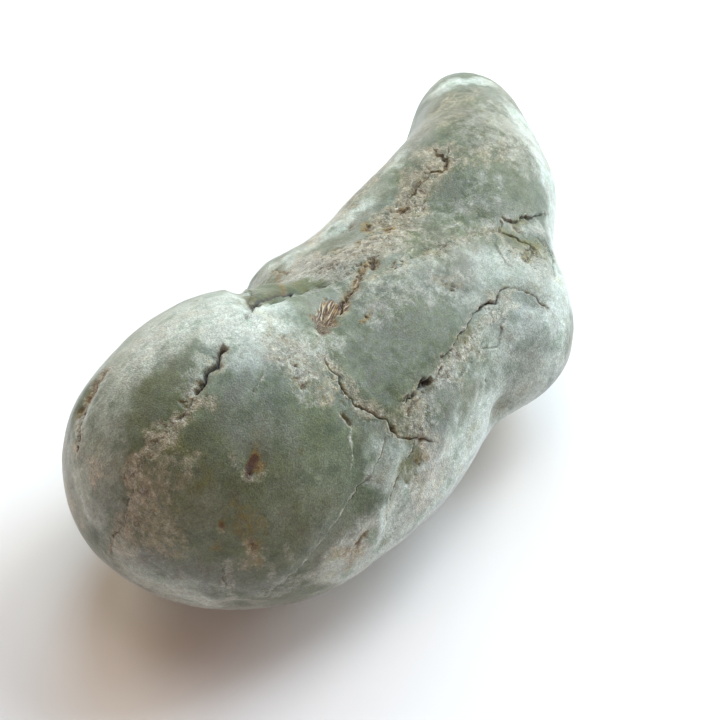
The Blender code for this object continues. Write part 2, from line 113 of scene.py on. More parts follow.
# Cracks. Walking along a route, "lip" names the side whose sharp edge stands proud by "step" and is
# painted pale: worn crystals and painted highlight. Lengths are in mm; dark, ochre and crust run from
# 0 to 1, and the crust fades out over "reach". A crack has the values of plainCrack, apart from those
# it gives itself. The nub's two folds have no depth: the skin is only drawn tight across them.
plainCrack = {"width": 0.24, "depth": 0.35, "dark": 0.5, "ochre": 0.15, "crust": 0.3, "reach": 0.6,
              "lip": "", "step": 0.0, "sheet": "front"}
cracks = {
    "cleft": {"width": 0.5, "depth": 1.3, "dark": 1.0, "ochre": 0.05, "crust": 0.05, "lip": "right",
        "step": 0.7,
        "route": [(-15.6, 5.9), (-14.4, 6.9), (-13.2, 7.8), (-11.6, 8.4), (-10.2, 8.5), (-9.2, 9.0),
                  (-7.8, 9.1), (-7.1, 9.6), (-5.6, 10.0), (-4.0, 10.6), (-2.0, 11.0)]},
    "nubFold": {"width": 0.2, "depth": 0.0, "dark": 0.0, "ochre": 0.0, "crust": 0.0, "reach": 0.5,
        "route": [(-15.3, 9.6), (-13.0, 9.9), (-10.7, 10.2), (-6.5, 10.9), (-3.4, 11.5)]},
    "nubFoldHigh": {"width": 0.2, "depth": 0.0, "dark": 0.0, "ochre": 0.0, "crust": 0.0, "reach": 0.5,
        "route": [(-14.6, 10.9), (-12.2, 11.3), (-9.6, 11.6), (-6.2, 12.2), (-3.2, 12.8)]},
    "nubCrease": {"width": 0.26, "dark": 0.6, "ochre": 0.0, "crust": 0.0, "reach": 0.4, "lip": "left",
        "step": 0.1,
        "route": [(-15.4, 10.2), (-15.2, 9.4), (-14.8, 8.0), (-14.4, 6.9)]},
    "nubCrack": {"width": 0.2, "depth": 0.2, "ochre": 0.9, "lip": "right", "step": 0.1,
        "route": [(-11.9, 12.3), (-10.9, 12.1), (-10.3, 11.9), (-9.5, 11.4)]},
    "shoulderHole": {"width": 0.34, "depth": 0.6, "dark": 1.0, "ochre": 0.2, "crust": 0.1, "reach": 0.5,
        "route": [(11.5, -1.2), (10.6, -1.9)]},
    "shoulderWedge": {"width": 0.7, "depth": 0.9, "dark": 0.9, "ochre": 0.5, "crust": 0.1, "lip": "right",
        "step": 0.2,
        "route": [(9.9, -2.4), (9.0, -2.9), (8.1, -3.7)]},
    "fragmentLeft": {"width": 0.3, "dark": 0.6, "ochre": 0.2, "crust": 0.2, "reach": 0.5, "step": 0.1,
        "route": [(7.6, -4.2), (6.2, -5.1), (5.3, -6.0)]},
    "fragmentRight": {"width": 0.3, "ochre": 0.5, "crust": 0.2, "reach": 0.5, "step": 0.1,
        "route": [(8.7, -4.4), (8.1, -5.5), (7.1, -6.5), (6.3, -7.7)]},
    "upperFissureStart": {"width": 0.34, "depth": 0.8, "dark": 0.85, "ochre": 0.9, "reach": 0.9,
        "lip": "right", "step": 0.35,
        "route": [(-3.6, 5.5), (-2.5, 7.0), (-1.9, 8.3), (-0.7, 9.9), (0.7, 10.8)]},
    "upperFissure": {"depth": 0.6, "dark": 0.95, "ochre": 0.35, "crust": 0.5, "reach": 1.0,
        "lip": "right", "step": 0.2,
        "route": [(0.7, 10.8), (1.9, 11.4), (3.3, 12.0), (4.4, 12.3), (5.5, 13.0), (6.9, 13.7),
                  (8.3, 14.2), (9.9, 14.6), (11.3, 15.3), (12.4, 16.1), (13.5, 16.8)]},
    "upperFissureEnd": {"width": 0.22, "depth": 0.25, "dark": 0.3, "ochre": 0.35, "crust": 0.5,
        "reach": 1.2, "lip": "right", "step": 0.25,
        "route": [(13.5, 16.8), (14.9, 17.3), (16.5, 17.5), (18.2, 17.5), (19.3, 17.3)]},
    "topCrack": {"width": 0.4, "depth": 0.5, "dark": 0.45, "ochre": 1.0, "reach": 0.9, "lip": "left",
        "step": 0.2,
        "route": [(10.2, 29.2), (11.1, 28.1), (12.0, 27.2), (11.1, 26.2), (9.9, 26.0), (8.9, 25.0),
                  (8.0, 23.7), (7.0, 22.5), (6.1, 21.0)]},
    "topFork": {"width": 0.3, "depth": 0.3, "dark": 0.25, "ochre": 0.9, "crust": 0.5, "reach": 0.9,
        "lip": "left",
        "route": [(11.8, 29.3), (12.3, 28.2), (12.0, 27.2)]},
    "chipTop": {"depth": 0.3, "dark": 0.6, "ochre": 0.0, "crust": 0.2, "lip": "left", "step": 0.2,
        "route": [(19.5, 19.5), (20.9, 19.4), (21.9, 19.4), (23.6, 19.7), (25.8, 19.8)]},
    "chipLeft": {"width": 0.3, "depth": 0.3, "reach": 0.8,
        "route": [(19.2, 19.2), (19.7, 18.4), (19.2, 17.3)]},
    "chipStrip": {"width": 0.2, "depth": 0.2, "dark": 0.3, "ochre": 0.3, "reach": 0.5,
        "route": [(20.9, 19.3), (21.0, 18.6), (21.3, 18.0), (22.0, 17.5)]},
    "chipCrevice": {"width": 0.3, "dark": 0.55, "ochre": 0.05, "reach": 0.7,
        "route": [(19.2, 17.2), (20.9, 17.1), (22.2, 16.5), (23.8, 15.7), (23.4, 14.2), (22.4, 13.6)]},
    "chipRim": {"width": 0.22, "depth": 0.1, "dark": 0.0, "ochre": 0.0, "crust": 0.2, "lip": "left",
        "step": 0.12,
        "route": [(18.6, 16.8), (19.0, 15.1), (19.9, 13.6), (20.9, 12.8)]},
    "sideCrack": {"dark": 0.65, "ochre": 0.1, "crust": 0.2, "lip": "left", "step": 0.08,
        "route": [(26.5, 14.6), (26.5, 13.2), (27.0, 11.1)]},
    "shoulderFissure": {"depth": 0.7, "dark": 1.0, "crust": 0.25, "reach": 0.8, "lip": "right",
        "step": 0.2,
        "route": [(20.5, 9.8), (19.5, 9.5), (18.6, 8.4), (17.3, 7.3), (16.1, 6.3), (15.1, 5.2),
                  (14.0, 3.9), (13.3, 2.6), (12.4, 1.4), (11.4, 0.3), (11.0, -1.2), (10.5, -1.9)]},
    "shoulderFissureLow": {"width": 0.28, "depth": 0.6, "dark": 1.0, "ochre": 0.2, "reach": 0.9,
        "lip": "right", "step": 0.2,
        "route": [(10.5, -1.9), (8.9, -2.8), (8.0, -3.6), (7.4, -4.4), (6.6, -5.2), (5.8, -6.2)]},
    "shoulderBranch": {"width": 0.26, "depth": 0.4, "dark": 0.8, "ochre": 0.1, "crust": 0.25,
        "reach": 0.7, "lip": "right", "step": 0.15,
        "route": [(20.5, 9.8), (22.2, 9.2), (23.8, 8.6), (25.3, 7.5), (26.1, 7.4)]},
    "shoulderLedge": {"depth": 0.2, "dark": 0.25, "ochre": 0.1, "crust": 0.25, "reach": 0.9,
        "lip": "left", "step": 0.15,
        "route": [(19.9, 5.5), (19.5, 4.1), (19.3, 2.8), (18.6, 1.8), (16.9, 1.4), (16.4, 0.3),
                  (15.4, -0.7), (14.0, -1.8), (13.1, -2.8)]},
    "bellyFissure": {"depth": 0.75, "dark": 0.95, "ochre": 0.2, "crust": 0.35, "reach": 0.9,
        "lip": "right", "step": 0.14,
        "route": [(-5.2, 0.0), (-4.3, -0.8), (-3.7, -1.8), (-2.9, -3.0), (-2.1, -4.4), (-1.2, -5.4),
                  (0.0, -6.5), (1.1, -7.3), (2.2, -8.0), (3.4, -8.4), (4.3, -9.2), (5.1, -10.2),
                  (6.1, -10.7)]},
    "bellyFissureEnd": {"width": 0.3, "depth": 0.4, "dark": 0.4, "ochre": 0.6, "crust": 0.4, "reach": 1.0,
        "lip": "left", "step": 0.1,
        "route": [(6.1, -10.7), (7.3, -10.9), (8.3, -11.0), (9.6, -11.0), (10.5, -11.1)]},
    "rightStep": {"depth": 0.7, "dark": 0.9, "reach": 0.9, "lip": "right", "step": 0.2,
        "route": [(8.0, -11.1), (7.3, -12.4), (6.9, -13.3), (6.1, -14.2), (5.5, -15.1), (5.2, -16.1),
                  (4.8, -17.3), (4.3, -18.4), (4.0, -19.7), (3.7, -20.9), (3.6, -22.0), (3.4, -23.4),
                  (3.4, -24.8)]},
    "fineLedge": {"width": 0.22, "depth": 0.2, "ochre": 0.1, "crust": 0.1, "reach": 0.5, "lip": "right",
        "step": 0.12,
        "route": [(3.7, -10.6), (3.3, -11.8), (2.7, -13.3), (1.8, -14.9), (1.0, -16.4), (-0.3, -17.6),
                  (-0.8, -18.8), (-1.9, -20.2)]},
    "fineLedgeLow": {"width": 0.22, "depth": 0.08, "dark": 0.2, "ochre": 0.0, "crust": 0.1, "reach": 0.4,
        "lip": "right", "step": 0.1,
        "route": [(-1.9, -20.2), (-3.3, -22.0), (-4.0, -23.1), (-4.7, -24.3), (-5.8, -25.9),
                  (-6.9, -27.0), (-9.6, -29.8), (-13.8, -32.3)]},
    "shortCrack": {"width": 0.26, "depth": 0.25, "dark": 0.4, "ochre": 0.5, "crust": 0.4, "lip": "left",
        "step": 0.08,
        "route": [(1.2, -23.5), (0.1, -24.8), (-0.8, -25.9)]},
    "lobeNotch": {"width": 0.6, "depth": 0.4, "dark": 0.35, "ochre": 0.5, "crust": 0.2, "reach": 0.5,
        "lip": "right", "step": 0.15,
        "route": [(-2.6, -7.2), (-1.8, -8.3), (-1.1, -9.3)]},
    "lobeHairline": {"width": 0.2, "depth": 0.06, "dark": 0.1, "ochre": 0.0, "crust": 0.05, "reach": 0.3,
        "lip": "right", "step": 0.04,
        "route": [(-1.1, -9.3), (-0.9, -12.4), (-1.3, -15.4)]},
    "footScratch": {"width": 0.22, "depth": 0.12, "ochre": 0.1, "crust": 0.1, "reach": 0.4,
        "lip": "right", "step": 0.06,
        "route": [(-18.6, -28.4), (-18.8, -31.2)]},
    "slit": {"width": 0.75, "depth": 1.5, "dark": 1.0, "ochre": 0.6, "crust": 0.15, "lip": "left",
        "step": 0.12,
        "route": [(-18.8, 2.0), (-19.0, 1.1), (-19.7, -0.1), (-20.6, -1.5), (-21.3, -2.6), (-22.3, -3.9),
                  (-22.8, -4.5)]},
    "slitTail": {"width": 0.26, "depth": 0.25, "ochre": 0.3, "reach": 0.9,
        "route": [(-23.0, -5.0), (-23.5, -6.2), (-24.3, -7.4), (-25.2, -8.2)]},
    "seamLedge": {"width": 0.26, "depth": 0.2, "dark": 0.45, "lip": "left", "step": 0.2,
        "route": [(-30.9, -16.4), (-31.5, -18.2), (-31.9, -19.7), (-32.2, -21.3), (-32.5, -23.1)]},
    "seamFoot": {"width": 0.28, "depth": 0.2, "dark": 0.35, "crust": 0.4, "reach": 0.7, "lip": "left",
        "step": 0.15,
        "route": [(-33.1, -22.3), (-33.5, -23.8), (-34.1, -25.0), (-33.8, -26.3)]},
    "leftGroove": {"width": 1.0, "dark": 0.1, "ochre": 0.9, "crust": 0.4, "reach": 0.7, "lip": "left",
        "step": 0.1,
        "route": [(-35.2, -2.2), (-36.2, -3.3), (-37.0, -4.8), (-37.8, -6.2), (-38.5, -7.4),
                  (-38.9, -8.3)]},
    "saddleLedge": {"width": 0.2, "depth": 0.05, "dark": 0.0, "ochre": 0.0, "crust": 0.12, "reach": 0.3,
        "lip": "left", "step": 0.06,
        "route": [(-8.9, 2.2), (-10.3, 0.7), (-12.1, -0.3), (-13.3, -1.6), (-14.3, -3.4), (-14.9, -4.8)]},
    "neckLedge": {"width": 0.2, "depth": 0.06, "dark": 0.0, "ochre": 0.0, "crust": 0.15, "lip": "right",
        "step": 0.08,
        "route": [(4.8, 12.9), (7.0, 15.4), (9.6, 17.0), (12.6, 18.4), (15.0, 20.4)]},
    "backFissure": {"width": 0.5, "depth": 0.7, "dark": 0.8, "ochre": 0.5, "crust": 0.6, "reach": 1.2,
        "lip": "left", "step": 0.25, "sheet": "back",
        "route": [(8.0, -1.0), (12.5, -3.0), (17.0, -2.5), (22.0, -6.0), (28.0, -7.0)]},
    "backLedge": {"width": 0.35, "dark": 0.4, "ochre": 0.3, "crust": 0.6, "reach": 1.0, "lip": "right",
        "step": 0.2, "sheet": "back",
        "route": [(-31.0, -3.5), (-26.0, -5.0), (-20.0, -3.5), (-13.0, -6.0)]},
}

cracks = {name: {**plainCrack, **own} for name, own in cracks.items()}

# Pits by sheet: place, radius, depth, and how dark and how ochre the bottom is.
pits = {
    "front": [
        ((6.1, 20.6), 0.4, 0.6, 0.8, 1.0), ((5.6, 20.3), 0.3, 0.5, 0.7, 1.0),
        ((3.9, 18.0), 0.45, 0.6, 0.8, 1.0), ((1.3, 18.6), 0.35, 0.5, 0.8, 1.0),
        ((1.4, 17.9), 0.3, 0.5, 0.7, 0.9), ((-0.1, 16.2), 0.28, 0.4, 0.6, 0.9),
        ((-3.5, 15.1), 0.3, 0.3, 0.1, 0.7), ((-2.2, 15.1), 0.22, 0.3, 0.6, 0.6),
        ((1.8, 13.6), 0.45, 0.8, 1.0, 1.0), ((1.6, 12.8), 0.35, 0.6, 0.9, 1.0),
        ((0.3, 13.4), 0.25, 0.3, 0.6, 0.8), ((-10.6, 2.9), 0.35, 0.25, 0.3, 0.6),
        ((-7.9, -3.7), 0.4, 0.4, 0.5, 0.7), ((-8.9, -2.6), 0.3, 0.3, 0.3, 0.6),
        ((-6.6, -0.8), 0.22, 0.2, 0.3, 0.5), ((-7.2, -1.7), 0.25, 0.2, 0.3, 0.5),
        ((-9.0, -0.6), 0.22, 0.2, 0.3, 0.5), ((0.9, 5.9), 0.3, 0.4, 0.7, 1.0),
        ((7.3, 22.9), 0.35, 0.5, 0.8, 1.0), ((6.9, 22.5), 0.25, 0.3, 0.5, 0.8),
        ((-4.8, 8.4), 0.25, 0.3, 0.7, 0.9), ((12.6, 9.8), 0.34, 0.5, 1.0, 1.0),
        ((11.9, 10.5), 0.25, 0.2, 0.2, 0.7), ((17.3, -2.9), 0.25, 0.2, 0.7, 0.2),
        ((-15.0, -15.6), 0.3, 0.4, 1.0, 0.8), ((-19.0, -22.3), 0.22, 0.2, 0.2, 0.9),
        ((-14.9, -25.3), 0.2, 0.2, 0.4, 0.8), ((-16.8, -34.3), 0.5, 0.4, 0.9, 0.5),
        ((-34.0, -25.0), 0.25, 0.2, 0.5, 0.5), ((-34.2, -26.4), 0.25, 0.2, 0.7, 0.6),
        ((-24.5, -5.9), 0.25, 0.2, 0.5, 0.5),
    ],
    "back": [
        ((-6.0, 7.0), 0.5, 0.4, 0.5, 0.7), ((20.0, 4.0), 0.45, 0.35, 0.4, 0.8),
        ((34.0, -2.0), 0.4, 0.35, 0.5, 0.5),
    ],
}

# Stains, tints, and painted highlight and shade that follow a route or sit at one place: strength,
# radius, softness, route, and the sheet where it isn't the front one. Lengths are in mm.
marks = {
    "mintAndHighlight": {  # pale, bluish green, and painted highlight on rims and faces turned to the light
        "face": (0.75, 3.0, 5.0, [(20.0, 4.0), (24.4, 0.6), (20.0, -4.0)]),
        "flank": (1.0, 3.2, 4.0, [(17.0, -8.0), (11.0, -16.0), (6.0, -22.0), (-1.0, -28.0)]),
        # painted highlight along the right rim, which faces the back light
        "edge": (1.0, 1.6, 3.0, [(27.0, 4.0), (28.4, 14.0), (26.4, 24.0), (22.4, 33.0)]),
        # painted highlight on the lobe's upper rim
        "lobe": (1.0, 3.0, 5.0, [(-32.0, 0.0), (-28.0, 4.0), (-20.0, 8.0), (-16.0, 7.0)]),
        "left": (1.0, 3.0, 5.0, [(-36.0, -8.0), (-37.0, -18.0)]),
        "shoulder": (0.5, 2.0, 3.0, [(16.0, 13.6), (24.0, 11.0)]),
        "low": (0.7, 1.4, 3.6, [(-33.0, -26.0), (-29.0, -30.0), (-22.0, -33.0)]),
        "flankLow": (1.0, 2.0, 3.6, [(10.0, -16.0), (6.0, -21.0), (2.0, -26.0)]),
        "saddle": (0.2, 2.0, 4.0, [(-16.0, 4.0), (-9.0, 1.0)]),
        "slit": (0.5, 1.2, 3.0, [(-19.8, 2.0), (-20.6, -2.0)]),
        "step": (0.6, 1.4, 2.5, [(3.4, -13.4), (4.4, -16.6), (4.5, -20.0)]),
        # this and the next: painted highlight along the neck's left rim and the tip's top rim
        "neck": (0.9, 0.4, 2.2, [(-8.3, 15.1), (-2.8, 18.6), (2.1, 23.4), (5.6, 28.0)]),
        "tip": (0.9, 0.6, 2.4, [(10.6, 37.0), (13.1, 38.4), (16.5, 38.4)]),
        "faceLow": (0.8, 1.6, 2.4, [(26.6, -0.6), (23.4, -5.5), (19.0, -9.5), (16.0, -12.5)]),
        "lobeLeftPale": (0.5, 2.2, 4.4, [(-30.0, -17.0), (-26.8, -18.0), (-23.0, -23.0)]),
        "recess": (0.7, 1.0, 2.6, [(20.0, -9.4), (15.0, -12.8)]),
        # the next three: painted highlight on the neck's left rim, the nub's top and the lobe's top
        "neckLeftHighlight": (1.0, 1.2, 2.0, [(-11.4, 14.4), (-7.6, 16.4), (-4.2, 19.0), (-1.6, 22.6)]),
        "nubTopHighlight": (0.8, 0.7, 1.4, [(-12.6, 12.4), (-10.2, 13.4), (-7.6, 13.2)]),
        "lobeTopHighlight": (0.75, 1.4, 3.2, [(-20.0, 4.5), (-16.5, 3.0), (-14.5, 1.0)]),
        "lobeLowRight": (0.3, 2.5, 4.0, [(-6.0, -16.0), (-5.5, -20.0), (-9.0, -24.0)]),
    },
    "deep": {  # deeper olive green, and painted shade where the stone turns from the light
        # painted shade on the lobe's front, which faces away from the light, over its deeper green
        "lobeDeep": (0.85, 7.0, 9.0, [(-24.0, -10.0), (-17.0, -20.0), (-10.0, -13.0)]),
        "lobeLeftDeep": (0.6, 3.0, 8.0, [(-35.0, -8.0), (-32.0, -18.0)]),
        # the next three: painted shade on the cushion's lower side, the nub and the tip
        "cushionDeep": (1.0, 3.4, 6.0, [(3.0, 1.4), (7.0, 4.6)]),
        "nubDeep": (0.7, 1.6, 2.4, [(-12.6, 10.8)]),
        "tipDeep": (0.8, 2.6, 5.0, [(13.0, 35.0), (16.0, 32.0)]),
        "backDeep": (0.7, 6.0, 10.0, [(26.0, 6.0), (36.0, -2.0)], "back"),
        "nubShade": (1.0, 0.9, 1.4, [(-14.2, 8.6), (-12.0, 9.2), (-9.4, 9.9), (-6.4, 10.9)]),
        "cushionShade": (1.0, 1.6, 4.0, [(-3.2, 2.6), (-1.6, -0.4), (1.8, -3.6), (5.6, -7.0)]),
        # painted shade on the neck
        "neckDeep": (0.9, 3.4, 6.0, [(8.0, 17.0), (14.0, 23.0), (18.0, 26.0)]),
        "tipRightDeep": (0.6, 1.6, 4.0, [(20.6, 31.0), (22.0, 25.0)]),
        # the next three: painted shade at the joint, the shoulder and the flank
        "jointDeep": (0.9, 0.8, 2.4, [(8.4, -8.6), (10.6, -6.0)]),
        "shoulderDeep": (0.5, 1.4, 3.0, [(18.4, 5.0), (14.4, 1.0)]),
        "flankDeep": (0.6, 1.4, 3.0, [(14.4, -5.6)]),
        "leftDeep": (0.8, 1.8, 2.6, [(-35.0, -2.6), (-33.6, 0.0)]),
        # painted shade on the nub's face, below its lit top
        "nubFaceShade": (1.0, 0.9, 1.2, [(-13.6, 10.4), (-11.4, 10.2), (-8.6, 10.4)]),
        "neckBandDeep": (0.75, 1.2, 2.6, [(5.5, 17.6), (8.0, 19.6)]),
        "neckBandUp": (0.6, 1.0, 2.4, [(2.0, 23.0), (4.4, 25.4)]),
        # painted shade high on the neck
        "neckDeepHigh": (0.7, 1.4, 3.0, [(14.4, 31.0), (15.0, 27.6)]),
    },
    "violet": {  # grey with a breath of violet
        "cushionViolet": (0.3, 3.0, 5.0, [(-2.0, -1.6), (5.0, 3.4), (10.4, 7.0)]),
        "neckViolet": (0.3, 2.0, 4.0, [(10.0, 22.0), (16.0, 24.0)]),
        "lobeViolet": (0.4, 2.0, 5.0, [(-13.0, -3.0), (-14.0, -8.0)]),
        "footViolet": (0.6, 1.6, 4.0, [(-28.0, -28.0), (-20.0, -31.0), (-12.0, -31.0)]),
        "leftViolet": (0.5, 1.6, 3.0, [(-35.0, -20.0)]),
        "stepViolet": (0.6, 1.4, 2.4, [(9.6, -9.0), (9.8, -13.6)]),
    },
    "pink": {  # warm, pinkish bands of opened crystals
        "rustBeside": (0.35, 0.3, 0.9, [(-17.0, -14.0)]),
        "lowSpotRim": (0.5, 0.1, 0.6, [(-19.2, -23.1)]),
        "lowPale": (0.4, 0.5, 1.4, [(-15.2, -25.6), (-15.7, -28.2)]),
        "neckBand": (0.7, 1.5, 2.6, [(-8.6, 12.6), (-2.0, 14.4), (3.6, 16.8), (6.8, 21.6), (10.4, 28.0)]),
        "neckStreak": (0.35, 0.8, 2.4, [(8.9, 29.0), (14.5, 27.8), (21.0, 29.0)]),
        "tipBrown": (0.35, 1.0, 3.6, [(11.0, 33.0), (13.0, 36.0)]),
        "seamBand": (0.75, 0.7, 1.9, [(-22.8, -5.4), (-26.0, -9.4), (-28.2, -11.8), (-29.6, -14.0),
            (-30.6, -16.8)]),
        "seamFootBand": (0.5, 0.8, 2.0, [(-30.8, -18.4), (-31.2, -23.0), (-33.6, -26.0)]),
        "leftBand": (0.5, 0.6, 1.3, [(-35.0, -1.9), (-38.6, -8.2), (-38.5, -13.2)]),
        "leftEdgeBand": (0.4, 0.4, 1.8, [(-40.6, -11.0), (-40.9, -17.0), (-38.6, -22.0)]),
        "leftPatch": (0.6, 0.8, 1.5, [(-36.4, -15.1)]),
        "flankPatch": (0.5, 0.8, 1.8, [(-2.6, -26.6), (-1.0, -27.2)]),
        "notchPatch": (0.5, 0.6, 1.4, [(-4.8, -5.0)]),
        "belowCushion": (0.55, 0.3, 1.0, [(-4.9, 0.6), (-3.2, -1.6), (-1.0, -4.6), (1.4, -6.8),
            (4.6, -8.8)]),
        "stepPatch": (0.4, 1.2, 2.2, [(7.4, -7.8), (9.0, -12.4), (9.4, -18.4)]),
        "shoulderPink": (0.4, 0.9, 1.6, [(19.6, 8.2), (15.8, 3.6), (12.0, -1.4)]),
        "backPink": (0.7, 1.4, 2.4, [(-24.0, 2.0), (-14.0, 4.0), (-4.0, 2.0)], "back"),
        "seamLowPale": (0.4, 0.6, 1.6, [(-31.0, -19.0), (-32.6, -24.6)]),
        "seamPale": (0.35, 1.0, 3.0, [(-26.4, -13.6), (-27.6, -17.0)]),
        "saddlePink": (0.35, 1.6, 3.0, [(-10.6, 1.4), (-7.0, -1.6)]),
    },
    "frost": {  # white, bruised crystals
        "saddleFrost": (0.45, 1.2, 3.0, [(-22.0, 5.4), (-18.0, 4.4), (-14.0, 4.6), (-9.0, 2.4),
            (-5.0, 2.2)]),
        "saddleCrust": (0.5, 1.0, 2.2, [(-8.6, 0.2), (-7.4, -3.0)]),
        "slitFrost": (0.4, 0.6, 1.6, [(-18.0, 2.2), (-21.6, -0.6), (-24.0, -3.6)]),
        "lobeTopFrost": (0.45, 1.6, 4.0, [(-31.0, -0.2), (-27.2, 3.2), (-20.0, 6.6)]),
        "shoulderCrust": (0.35, 1.2, 1.9, [(18.0, 6.0), (15.8, 1.6), (12.6, -1.6), (9.8, -5.2),
            (8.6, -9.6)]),
        "chipFrost": (0.6, 1.4, 2.2, [(20.4, 14.4), (25.4, 13.0)]),
        "fissureFrost": (0.4, 0.5, 1.4, [(0.6, 9.4), (7.2, 12.4), (13.0, 15.8), (18.0, 18.4)]),
        "neckFrost": (0.15, 1.4, 3.4, [(5.6, 15.6), (12.0, 19.0), (18.0, 24.4)]),
        "tipFrost": (0.45, 2.0, 4.4, [(17.6, 31.6), (20.6, 33.4), (22.6, 29.0)]),
        "footFrost": (0.5, 0.6, 1.6, [(-34.4, -27.2), (-30.8, -30.4), (-25.4, -33.2), (-19.4, -34.4)]),
        "footStreak": (0.4, 0.15, 0.9, [(-18.2, -28.2), (-17.7, -33.0)]),
        "lowRightFrost": (0.3, 0.7, 2.2, [(-13.0, -33.0), (-6.0, -28.6)]),
        "lowScratch": (0.3, 0.1, 0.6, [(-13.4, -26.0), (-12.0, -30.0)]),
        "lowScratchTwo": (0.3, 0.1, 0.6, [(-10.0, -25.4), (-9.4, -28.6)]),
        "flankFrost": (0.4, 0.9, 2.0, [(11.8, -12.4), (8.4, -20.4)]),
        "cushionFrost": (0.3, 1.4, 3.4, [(2.0, 7.4), (8.0, 11.0), (13.0, 10.6)]),
        "backFrost": (0.6, 1.4, 2.6, [(6.0, -0.4), (16.0, -2.0), (28.0, -6.0)], "back"),
        "bandFrost": (0.6, 1.2, 2.2, [(-8.6, 12.6), (-4.6, 12.6), (-1.0, 11.6)]),
    },
    "crust": {  # chalky crumbs in the grooves, and painted light on the lobe's left rim
        "rustRim": (0.45, 0.25, 0.7, [(-15.9, -16.0), (-14.9, -16.6), (-13.5, -15.9), (-13.2, -14.8)]),
        "leftCrust": (0.8, 0.5, 1.0, [(-35.2, -2.2), (-37.8, -6.2), (-38.9, -9.0)]),
        # painted light on the lobe's left rim, which catches the back light
        "leftGlow": (0.45, 0.4, 1.4, [(-36.4, -15.1)]),
        "seamLowCrust": (0.4, 1.2, 3.0, [(-30.0, -19.5), (-27.5, -24.5)]),
    },
    "olive": {  # olive film in the hollows, and painted shade at the nub's foot and in the notch
        "spot": (0.8, 0.9, 1.6, [(-21.7, -15.4)]),
        "right": (0.5, 0.2, 1.0, [(-8.4, -12.4)]),
        "deep": (0.45, 0.6, 1.6, [(-25.3, -20.6)]),
        "fissure": (0.85, 0.5, 1.1, [(14.6, 3.9), (14.2, 2.8)]),
        "step": (0.85, 0.6, 1.1, [(6.6, -14.4), (5.9, -16.2)]),
        "stepEnd": (0.7, 0.5, 1.1, [(3.6, -24.5)]),
        "chip": (0.75, 0.3, 0.9, [(21.4, 19.0), (23.0, 19.2)]),
        "crevice": (0.8, 0.4, 0.9, [(19.6, 17.2), (22.4, 16.4), (24.0, 15.6), (23.2, 14.0)]),
        "nubVeinTwo": (0.5, 0.2, 0.7, [(-9.4, 10.8), (-7.4, 10.2)]),
        # painted shade at the nub's foot
        "nubFoot": (0.9, 0.8, 1.4, [(-16.0, 8.6), (-14.8, 7.6)]),
        "shoulder": (0.5, 0.3, 0.9, [(17.0, 6.6), (14.6, 3.4)]),
        "upper": (0.5, 0.3, 0.9, [(-23.8, -8.2)]),
        "middle": (0.5, 0.4, 0.9, [(-25.3, -11.0), (-23.8, -12.5)]),
        # painted shade in the notch left of the nub
        "notchOliveShade": (0.9, 0.7, 0.8, [(-16.3, 8.7), (-15.2, 8.6)]),
    },
    "ochre": {  # iron ochre round pits and cracks
        "rustHalo": (0.8, 0.5, 0.9, [(-14.8, -15.2), (-14.2, -14.2), (-14.2, -13.2)]),
        "rustTail": (0.25, 0.2, 1.3, [(-14.0, -12.6), (-13.5, -10.8)]),
        "lowSpotHalo": (0.6, 0.2, 0.7, [(-19.0, -22.4)]),
        "lowPatch": (0.34, 0.6, 2.0, [(-16.5, -22.3), (-14.9, -22.0), (-14.6, -23.4)]),
        "lowStreak": (0.45, 0.2, 0.9, [(-15.0, -24.4), (-14.9, -26.2)]),
        "lowStreakEnd": (0.4, 0.2, 0.8, [(-14.0, -27.4)]),
        "lowDrop": (0.4, 0.2, 0.9, [(-19.4, -26.0)]),
        "brownStep": (0.5, 0.4, 1.0, [(7.6, -13.4), (8.6, -13.9)]),
        "joint": (0.2, 0.7, 1.2, [(8.9, -3.7), (7.8, -7.0)]),
        "notch": (0.25, 0.4, 1.1, [(-4.8, -5.2)]),
        "flank": (0.2, 0.9, 1.4, [(-1.9, -26.4), (-0.5, -27.2)]),
        "halo": (0.28, 0.5, 1.2, [(11.0, 10.8), (13.2, 11.0)]),
        "saddle": (0.3, 0.4, 0.9, [(-12.8, 4.3), (-10.2, 2.8)]),
        "chip": (0.25, 0.8, 1.4, [(21.8, 15.0), (24.6, 14.6)]),
        "nubVein": (0.8, 0.1, 0.5, [(-11.6, 11.5), (-11.0, 10.6), (-10.6, 9.6), (-10.6, 8.8)]),
        "recess": (0.15, 0.6, 2.0, [(17.9, -6.9), (21.3, -9.2)]),
        "leftOchre": (0.5, 0.3, 1.0, [(-35.6, -2.6), (-38.4, -7.6)]),
        "top": (0.5, 0.4, 1.2, [(-1.4, 9.6), (0.2, 11.8), (1.6, 13.2)]),
        "backOchre": (0.5, 0.8, 1.6, [(18.0, 5.0), (21.0, 3.4)], "back"),
        "far": (0.75, 0.25, 0.8, [(3.5, 17.8), (4.3, 18.0)]),
        "farTwo": (0.75, 0.25, 0.7, [(1.2, 18.6), (1.4, 17.6)]),
        "farEnd": (0.8, 0.3, 0.7, [(5.4, 20.3), (6.2, 20.6)]),
        "high": (0.7, 0.2, 0.7, [(7.3, 22.9)]),
        "near": (0.6, 0.15, 0.5, [(-0.3, 16.2), (0.2, 16.0)]),
        "nearTwo": (0.45, 0.2, 0.7, [(-3.6, 15.1), (-2.4, 15.1)]),
        "nearThree": (0.4, 0.2, 0.6, [(-3.9, 13.6)]),
        "notchStreak": (0.8, 0.1, 0.5, [(-0.2, 5.2), (0.9, 5.9), (1.8, 6.6)]),
        "needleOchre": (0.8, 0.4, 1.0, [(-3.4, 5.8), (-2.4, 7.4), (-1.6, 8.8), (0.4, 12.0), (1.8, 13.6)]),
        "stripOchre": (0.8, 0.3, 0.8, [(-2.4, 8.0), (-1.2, 9.8), (0.2, 12.0), (1.6, 13.4)]),
